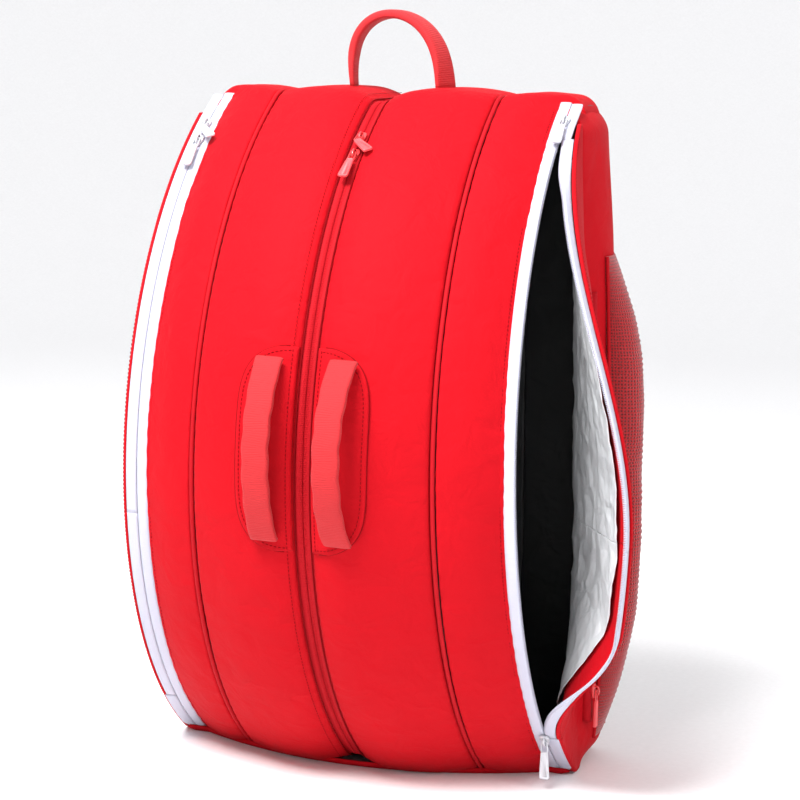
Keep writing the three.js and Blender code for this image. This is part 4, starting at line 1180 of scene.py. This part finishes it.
def sew_handles():
    bag = form()
    webbing, thread = finish("grosgrain_webbing"), finish("polyester_thread")
    fabric = finish("coated_woven_polyester")

    def patch_line(sign, x, s, lift):
        return bag.on_front(sign * x, s, bag.panel_lift(x, s) + lift)

    for side, sign in SIDES:
        s = np.linspace(bag.s_at(PATCH_Z[0]), bag.s_at(PATCH_Z[1]), 90)
        t = np.linspace(-1, 1, 90)
        round_corner = patch_corner(t)
        u = eased(26, 0.6)[None, :]
        x = PATCH_X[0] + (PATCH_X[1] - PATCH_X[0]) * round_corner[:, None] * u
        rows = np.broadcast_to(s[:, None], x.shape)
        far = (PATCH_X[1] - PATCH_X[0]) * round_corner[:, None]
        edge = np.minimum(x - PATCH_X[0], PATCH_X[0] + far - x)
        edge = np.minimum(edge, (1 - np.abs(t))[:, None] * 110)
        lift = bag.panel_lift(x, rows) + 2.6 - roll(edge, 1.6)
        outer = bag.on_front(sign * x, rows, lift)
        patch = shell(f"{side}_handle_patch_sewn", outer, patch_line(sign, x, rows, -1.0), [fabric])
        place(patch, "bag", [f"{side}_handle_patch"], "red_polyester", 0.3)

        # The patch's turned rim as a cord in dark thread colour: the rim is real, its dark colour is a painted
        # shadow line under the patch's edge.
        a = np.linspace(-1, 1, 160)
        rim_s = s[0] + (a + 1) / 2 * (s[-1] - s[0])
        rim_x = PATCH_X[0] + (PATCH_X[1] - PATCH_X[0]) * patch_corner(a)
        rim = patch_line(sign, rim_x, rim_s, 1.0)
        out = patch_line(sign, rim_x, rim_s, 2.0) - rim
        place(swept(f"{side}_patch_fold", rim, out, 1.1, 1.1, thread, 1.0, 8), "bag")

        inset = 4.0
        a = np.linspace(-1, 1, 120)
        outline_s = bag.s_at(PATCH_Z[0]) + 4 + (a + 1) / 2 * (s[-1] - s[0] - 8)
        outline_x = PATCH_X[0] + (PATCH_X[1] - PATCH_X[0] - inset) * patch_corner(a)
        side_row = patch_line(sign, outline_x, outline_s, 2.9)
        inner_row = patch_line(sign, np.full_like(a, PATCH_X[0] + inset), outline_s, 2.9)
        place(repeat_along(f"{side}_patch_stitches", [side_row, inner_row], [FORWARD] * 2, bag.stitch,
                           (2.6, 0.75, 0.7), thread), "bag")

        v = np.linspace(0, 1, 90)
        at = bag.s_at(HANDLE_Z[0]) + (bag.s_at(HANDLE_Z[1]) - bag.s_at(HANDLE_Z[0])) * v
        x = np.full_like(v, HANDLE_X[side])
        arch = np.sin(np.pi * v) ** 0.8
        thick = 4.6 + 3.0 * arch
        lift = bag.panel_lift(x, at) + 3.0 + thick / 2 + HANDLE_LIFT[side] * arch
        wobble = 0.5 * np.sin(v * 41 + sign) * arch
        path = bag.on_front(sign * (x + wobble), at, lift)
        facing = bag.on_front(sign * x, at, lift + 1) - bag.on_front(sign * x, at, lift)
        width = 24.0 - 1.5 * arch
        band = swept(f"{side}_grab_handle_webbing", path, facing, width, thick, webbing, 0.42, 28)
        place(band, f"{side}_grab_handle", [f"{side}_grab_handle"], "red_webbing", 0.6)

    t = np.linspace(0, math.pi, 110)
    rise = np.sin(t) ** 0.72
    path = grid(-43 * np.cos(t) - 7 * rise, LOOP_Y, LOOP_FOOT_Z + 65.0 * rise)
    turn = np.radians(-10 + 30 * t / math.pi)
    tangent = unit(np.gradient(path, axis=0))
    across = grid(np.sin(turn), np.cos(turn), 0 * turn)
    facing = np.cross(across, tangent)
    facing *= np.sign((facing * (path - np.array([0, LOOP_Y, LOOP_FOOT_Z - 2]))).sum(1))[:, None]
    foot = 1 - np.clip(np.minimum(t, math.pi - t) / 0.35, 0, 1)
    band = swept("carry_loop_webbing", path, facing, 24 + 3 * foot, 8.0 - 3.0 * foot, webbing, 0.5, 28)
    place(band, "top_loop", ["top_loop"], "red_webbing", 0.7)
    for side, sign in SIDES:
        u = np.linspace(-1, 1, 26)[None, :]
        v = np.linspace(-1, 1, 26)[:, None]
        x = sign * 46 + 13 * u + 0 * v
        y = LOOP_Y + 14 * v + 0 * u
        edge = np.minimum(13 * (1 - np.abs(u)), 14 * (1 - np.abs(v)))
        outer = grid(x, y, 604.2 - roll(edge, 3) + 0.5 * np.sin(v * 9) * np.sin(u * 7))
        inner = grid(x, y, 598.5 + 0 * x)
        tab = shell(f"carry_loop_tab_{side}", outer, inner, [finish("coated_woven_polyester")])
        place(tab, "bag", [f"top_loop_anchor_{side}"], "red_polyester", 0.3)


# ------------------------------------------------------------------ the carrying back
PAD_HALF, PAD_FOOT, PAD_TOP = 118, 72, 500
PAD_MIDDLE = (PAD_FOOT + PAD_TOP) / 2
YOKE_HALF, YOKE_FOOT, YOKE_TOP = 92, 512, 560
TAB_X, TAB_HALF, TAB_FOOT, TAB_TOP = 112, 17, 18, 58


def sew_back():
    spacer, webbing, acetal = finish("black_spacer_mesh"), finish("black_webbing"), finish("black_acetal")
    thread = finish("black_polyester_thread")
    fabric = finish("coated_woven_polyester")
    stitch = form().stitch
    z = np.linspace(PAD_FOOT, PAD_TOP, 150)[:, None]
    x = np.linspace(-PAD_HALF, PAD_HALF, 90)[None, :]
    up = z - PAD_MIDDLE
    edge = np.minimum(PAD_HALF - np.abs(x), np.minimum(z - PAD_FOOT, PAD_TOP - z))
    past = np.hypot(np.clip(np.abs(x) - PAD_HALF + 30, 0, None), np.clip(np.abs(up) - 184, 0, None))
    corner = np.clip(past - 30, 0, None)
    channel = np.exp(-((np.abs(x) - 42) / 4) ** 2) + np.exp(-((up % 143 - 71.5) / 4) ** 2)
    y = 1.2 + 7.6 * (1 - np.exp(-edge / 12)) - 3.2 * np.clip(channel, 0, 1) - 1.6 * (corner > 0)
    shrink = 1 - corner / 220
    outer = grid(x * shrink, y, PAD_MIDDLE + up * shrink)
    inner = grid(x * shrink, -1.5, PAD_MIDDLE + up * shrink)
    place(shell("back_pad_quilted", outer, inner, [spacer]), "bag", ["back_pad"], "black_spacer_mesh", 0.7)

    u = eased(60, 0.4)[None, :]
    v = eased(30, 0.4)[:, None]
    x = YOKE_HALF * (2 * u - 1) + 0 * v
    z = YOKE_FOOT + (YOKE_TOP - YOKE_FOOT) * v + 0 * u
    edge = np.minimum(YOKE_HALF - np.abs(x), np.minimum(z - YOKE_FOOT, YOKE_TOP - z))
    y = 7.4 - roll(edge, 5) - 1.8 * np.exp(-((edge - 7) / 1.6) ** 2)
    place(shell("strap_yoke_sewn", grid(x, y, z), grid(x, -1 + 0 * x, z), [fabric]), "bag",
          ["strap_yoke"], "red_polyester", 0.5)

    for side, sign in SIDES:
        v = np.linspace(0, 1, 110)
        top_x, foot_x, top_z, foot_z = 58.0, 84.0, 520.0, 215.0
        out = 20.0 + 28 * np.sin(np.pi * v) ** 0.9
        out = np.where(v > 0.93, out - 11 * smooth((v - 0.93) / 0.07), out)
        path = grid(sign * (foot_x + (top_x - foot_x) * v), out, foot_z + (top_z - foot_z) * v)
        facing = np.broadcast_to((0.0, 1.0, 0.0), path.shape)
        width = 56 * (1 - 0.35 * (1 - v)) * (1 - 0.25 * np.exp(-v / 0.02))
        band = swept(f"{side}_strap_padded", path, facing, width, 10.5 - 3 * np.exp(-v / 0.03), spacer, 0.4, 36)
        place(band, f"{side}_strap", [f"{side}_shoulder_strap"], "black_spacer_mesh", 0.8)
        rows = []
        for edge in (-1, 1):
            row = path[4:-4].copy()
            row[:, 0] += edge * (width[4:-4] / 2 - 5.5)
            row[:, 1] += 5.15
            rows.append(row)
        place(repeat_along(f"{side}_strap_stitches", rows, [(0, 1, 0)] * 2, stitch, (2.6, 0.8, 0.7), thread),
              f"{side}_strap")

        w = np.linspace(0, 1, 60)
        foot = np.array([sign * 112.0, 4.0, 40.0])
        head = np.array([sign * 84.0, 21.0, 191.0])
        path = foot + (head - foot) * w[:, None]
        path[:, 1] += 3.0 * np.sin(np.pi * w)
        band = swept(f"{side}_webbing_strap", path, np.broadcast_to((0.0, 1.0, 0.0), path.shape), 24.0, 2.0,
                     webbing, 0.3, 20)
        place(band, f"{side}_strap", [f"{side}_strap_webbing"], "black_spacer_mesh")

        low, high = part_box(f"{side}_buckle")
        at = on_bag(*((low + high) / 2))
        bars = [plate("bar", rounded_outline(4.2, -13, 13, 1.6), 6.0, acetal,
                      at @ Matrix.Translation((end * 14.9, 0, 0)), 1.0) for end in (-1, 1)]
        bars += [plate("bar", rounded_outline(30, h - 2, h + 2, 0.9), 3.6, acetal, at, 0.8)
                 for h in (-11, 0, 11)]
        place(joined(f"{side}_ladder_lock", bars), f"{side}_buckle", [f"{side}_buckle"], "black_acetal")

        u = eased(20, 0.4)[None, :]
        v = eased(20, 0.4)[:, None]
        x = sign * TAB_X + 2 * TAB_HALF * (u - 0.5) * (1 - 0.3 * v)
        z = TAB_FOOT + (TAB_TOP - TAB_FOOT) * v + 0 * u
        edge = np.minimum(TAB_HALF - np.abs(x - sign * TAB_X), np.minimum(z - TAB_FOOT, TAB_TOP - z))
        y = 4.8 - roll(edge, 3)
        place(shell(f"{side}_webbing_tab", grid(x, y, z), grid(x, -1 + 0 * x, z), [fabric]), "bag",
              [f"{side}_webbing_anchor"], "red_polyester", 0.3)


# ------------------------------------------------------------------ the side pocket
POCKET = {"foot": 26.0, "top": 462.0, "front": -60.0, "back": -10.0, "bulge": 24.0}


def sew_pocket():
    bag = form()
    u = eased(60, 0.7)[None, :]
    v = eased(200, 0.5)[:, None]
    z = POCKET["foot"] + (POCKET["top"] - POCKET["foot"]) * v + 0 * u
    y = POCKET["front"] + (POCKET["back"] - POCKET["front"]) * u + 0 * v
    soft = (1 - np.abs(2 * u - 1) ** 3.2) * np.minimum(smooth(v / 0.34), smooth((1 - v) / 0.26))
    flat = grid(0 * y, y, z)
    fullness = POCKET["bulge"] * np.clip(soft, 0, 1) ** 0.5
    ribs = 0.55 * np.sin(2 * np.pi * z / 5.2) * np.clip(soft * 6, 0, 1)
    dents = 1.4 * unevenness(flat, (40, 34, 60), 71) * np.clip(soft * 2, 0, 1)
    x = bag.side_x(z) + bag.bulge(y, z) + 1.5 + fullness + ribs + dents
    base = bag.side_x(z) + bag.bulge(y, z) - 1.0
    pocket = shell("side_pocket_rib_mesh", grid(x, y, z), grid(base, y, z), [finish("red_rib_mesh")])
    place(pocket, "bag", ["side_pocket"], "red_ribbed_mesh", 0.6)

    t = np.linspace(0, 1, 220)
    ring_y = np.concatenate([np.full(220, POCKET["front"]), np.full(220, POCKET["back"])])
    ring_z = np.concatenate([POCKET["foot"] + (POCKET["top"] - POCKET["foot"]) * t] * 2)
    ring_x = bag.side_x(ring_z) + bag.bulge(ring_y, ring_z) + 1.6
    for index, name in enumerate(("front", "rear")):
        part = slice(220 * index, 220 * (index + 1))
        path = grid(ring_x[part], ring_y[part], ring_z[part])
        cord = swept(f"pocket_{name}_piping", path, np.broadcast_to((1.0, 0, 0), path.shape), 3.2, 3.2,
                     finish("bias_piping"), 1.0, 10)
        place(cord, "bag", (), "dark_red_trim")

    low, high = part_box("pocket_zip_tape")
    z = np.linspace(low.z / MM, high.z / MM, 120)[:, None]
    y = np.linspace(-4, 4, 8)[None, :] + (low.y + high.y) / 2 / MM - BACK_Y / MM
    out = (high.x - CENTRE_X) / MM - bag.side_x(low.z / MM)
    front = bag.side_x(z) + out + 0.3 * np.cos(y) + 0 * y
    tape = shell("pocket_zip_tape_sewn", grid(front, y, z),
                 grid(front - 9, y, z), [finish("red_twill_zip_tape")])
    place(tape, "bag", ["pocket_zip_tape"], "red_polyester")


# ------------------------------------------------------------------ stage
CAMERA = {"azimuth": 19.14, "elevation": 9.23, "distance": 2188.8, "focal": 2455.7, "centre": (371.9, 433.0),
          "roll": 1.11}
FRAME_SIZE = 800
SENSOR = 36.0
COVE_START, COVE_ROUND, COVE_HEIGHT = 3.0, 2.0, 7.0


def lamp(name, size, power, position, target):
    light = bpy.data.lights.new(name, "AREA")
    light.shape = "RECTANGLE"
    light.size, light.size_y = size
    light.energy = power
    obj = linked(name, light)
    obj.location = position
    obj.rotation_mode = "QUATERNION"
    obj.rotation_quaternion = (Vector(target) - Vector(position)).to_track_quat("-Z", "Y")


def set_stage():
    outline = [(0.0, 0.0), (1.0, 0.0), (COVE_START, 0.0)]
    outline += [(COVE_START + COVE_ROUND * math.sin(t), COVE_ROUND * (1 - math.cos(t)))
                for t in np.linspace(0.05, math.pi / 2, 20)]
    outline.append((COVE_START + COVE_ROUND, COVE_HEIGHT))
    turns = np.linspace(0, 2 * math.pi, 97)
    points = [(r * math.cos(a), r * math.sin(a), z) for r, z in outline for a in turns]
    index = np.arange(len(points)).reshape(len(outline), len(turns))
    faces = grid(index[:-1, :-1], index[:-1, 1:], index[1:, 1:], index[1:, :-1]).reshape(-1, 4)
    mesh = bpy.data.meshes.new("studio_floor")
    mesh.from_pydata(points, [], faces.tolist())
    mesh.materials.append(finish("pale_studio_floor"))
    mesh.shade_smooth()
    linked("studio_floor", mesh)

    scene = bpy.context.scene
    scene.view_settings.view_transform = "Standard"
    studio = bpy.data.worlds.new("studio")
    studio.use_nodes = True
    sky = studio.node_tree.nodes["Background"]
    sky.inputs["Color"].default_value = (1.0, 1.0, 1.0, 1)
    sky.inputs["Strength"].default_value = 0.3
    scene.world = studio
    lamp("overhead_softbox", (1.1, 0.8), 100, (-0.45, -1.25, 2.25), (0, 0, 0.5))
    lamp("right_softbox", (0.8, 0.8), 14, (1.7, -1.1, 1.7), (0.1, 0, 0.45))
    lamp("cove_light", (7.0, 7.0), 115, (0.0, 0.0, 6.5), (0, 0, 0))

    c = CAMERA
    a, e = math.radians(c["azimuth"]), math.radians(c["elevation"])
    back = Vector((math.sin(a) * math.cos(e), -math.cos(a) * math.cos(e), math.sin(e)))
    target = Vector(world(np.array([0.0, -120.0, 300.0])))
    camera = bpy.data.cameras.new("camera")
    camera.sensor_width = SENSOR
    camera.lens = c["focal"] * SENSOR / FRAME_SIZE
    camera.shift_x = (FRAME_SIZE / 2 - c["centre"][0]) / FRAME_SIZE
    camera.shift_y = (c["centre"][1] - FRAME_SIZE / 2) / FRAME_SIZE
    camera.clip_start, camera.clip_end = 0.05, 50
    obj = linked("camera", camera)
    obj.location = target + back * c["distance"] * MM
    obj.rotation_mode = "QUATERNION"
    obj.rotation_quaternion = (-back).to_track_quat("-Z", "Y") @ Matrix.Rotation(
        math.radians(c["roll"]), 4, "Z").to_quaternion()
    scene.camera = obj


# ------------------------------------------------------------------ operators
class BAG_OT_front(bpy.types.Operator):
    """Sew the padded front panels, gussets, piping, top and base"""

    bl_idname = "bag.front"
    bl_label = "Front, top and base"
    bl_options = {"REGISTER", "UNDO"}

    def execute(self, context):
        sew_front()
        return {"FINISHED"}


class BAG_OT_sides(bpy.types.Operator):
    """Sew the side panels, the dividers and the back panel"""

    bl_idname = "bag.sides"
    bl_label = "Sides and back"
    bl_options = {"REGISTER", "UNDO"}

    def execute(self, context):
        sew_sides()
        return {"FINISHED"}


class BAG_OT_zips(bpy.types.Operator):
    """Lay the zip tapes, coils and stitches of the front"""

    bl_idname = "bag.zips"
    bl_label = "Zips"
    bl_options = {"REGISTER", "UNDO"}

    def execute(self, context):
        sew_zips()
        return {"FINISHED"}


class BAG_OT_flaps(bpy.types.Operator):
    """Sew the folding flaps with their linings and zip tapes"""

    bl_idname = "bag.flaps"
    bl_label = "Side flaps"
    bl_options = {"REGISTER", "UNDO"}

    def execute(self, context):
        sew_flaps()
        return {"FINISHED"}


class BAG_OT_sliders(bpy.types.Operator):
    """Cast the zip sliders and mould their pulls"""

    bl_idname = "bag.sliders"
    bl_label = "Sliders and pulls"
    bl_options = {"REGISTER", "UNDO"}

    def execute(self, context):
        fit_sliders()
        return {"FINISHED"}


class BAG_OT_handles(bpy.types.Operator):
    """Sew the grab handles, their patches and the carry loop"""

    bl_idname = "bag.handles"
    bl_label = "Handles"
    bl_options = {"REGISTER", "UNDO"}

    def execute(self, context):
        sew_handles()
        return {"FINISHED"}


class BAG_OT_carry_back(bpy.types.Operator):
    """Sew the back pad, the yoke, the straps and their buckles"""

    bl_idname = "bag.carry_back"
    bl_label = "Carrying back"
    bl_options = {"REGISTER", "UNDO"}

    def execute(self, context):
        sew_back()
        return {"FINISHED"}


class BAG_OT_pocket(bpy.types.Operator):
    """Sew the ribbed side pocket and its zip"""

    bl_idname = "bag.pocket"
    bl_label = "Side pocket"
    bl_options = {"REGISTER", "UNDO"}

    def execute(self, context):
        sew_pocket()
        return {"FINISHED"}


class BAG_OT_stage(bpy.types.Operator):
    """Set the floor, the lights and the camera"""

    bl_idname = "bag.stage"
    bl_label = "Stage"
    bl_options = {"REGISTER", "UNDO"}

    def execute(self, context):
        set_stage()
        return {"FINISHED"}


OPERATORS = (BAG_OT_front, BAG_OT_sides, BAG_OT_zips, BAG_OT_flaps, BAG_OT_sliders, BAG_OT_handles,
             BAG_OT_carry_back, BAG_OT_pocket, BAG_OT_stage)


class BAG_PT_build(bpy.types.Panel):
    """Sizes, colours and steps of the bag."""

    bl_label = "Racket bag"
    bl_idname = "BAG_PT_build"
    bl_space_type = "VIEW_3D"
    bl_region_type = "UI"
    bl_category = "Bag"

    def draw(self, context):
        for group in (context.scene.bag_sizes, context.scene.bag_colours):
            for key in group.__annotations__:
                self.layout.prop(group, key)
        for operator in OPERATORS:
            self.layout.operator(operator.bl_idname)


def register():
    for cls in (BagSizes, BagColours, *OPERATORS, BAG_PT_build):
        bpy.utils.register_class(cls)
    bpy.types.Scene.bag_sizes = PointerProperty(type=BagSizes)
    bpy.types.Scene.bag_colours = PointerProperty(type=BagColours)


def unregister():
    del bpy.types.Scene.bag_colours
    del bpy.types.Scene.bag_sizes
    for cls in (BAG_PT_build, *reversed(OPERATORS), BagColours, BagSizes):
        bpy.utils.unregister_class(cls)


def main():
    register()
    for operator in OPERATORS:
        group, name = operator.bl_idname.split(".")
        if getattr(getattr(bpy.ops, group), name)() != {"FINISHED"}:
            raise RuntimeError(f"{operator.bl_idname} didn't finish")


if __name__ == "__main__":
    main()
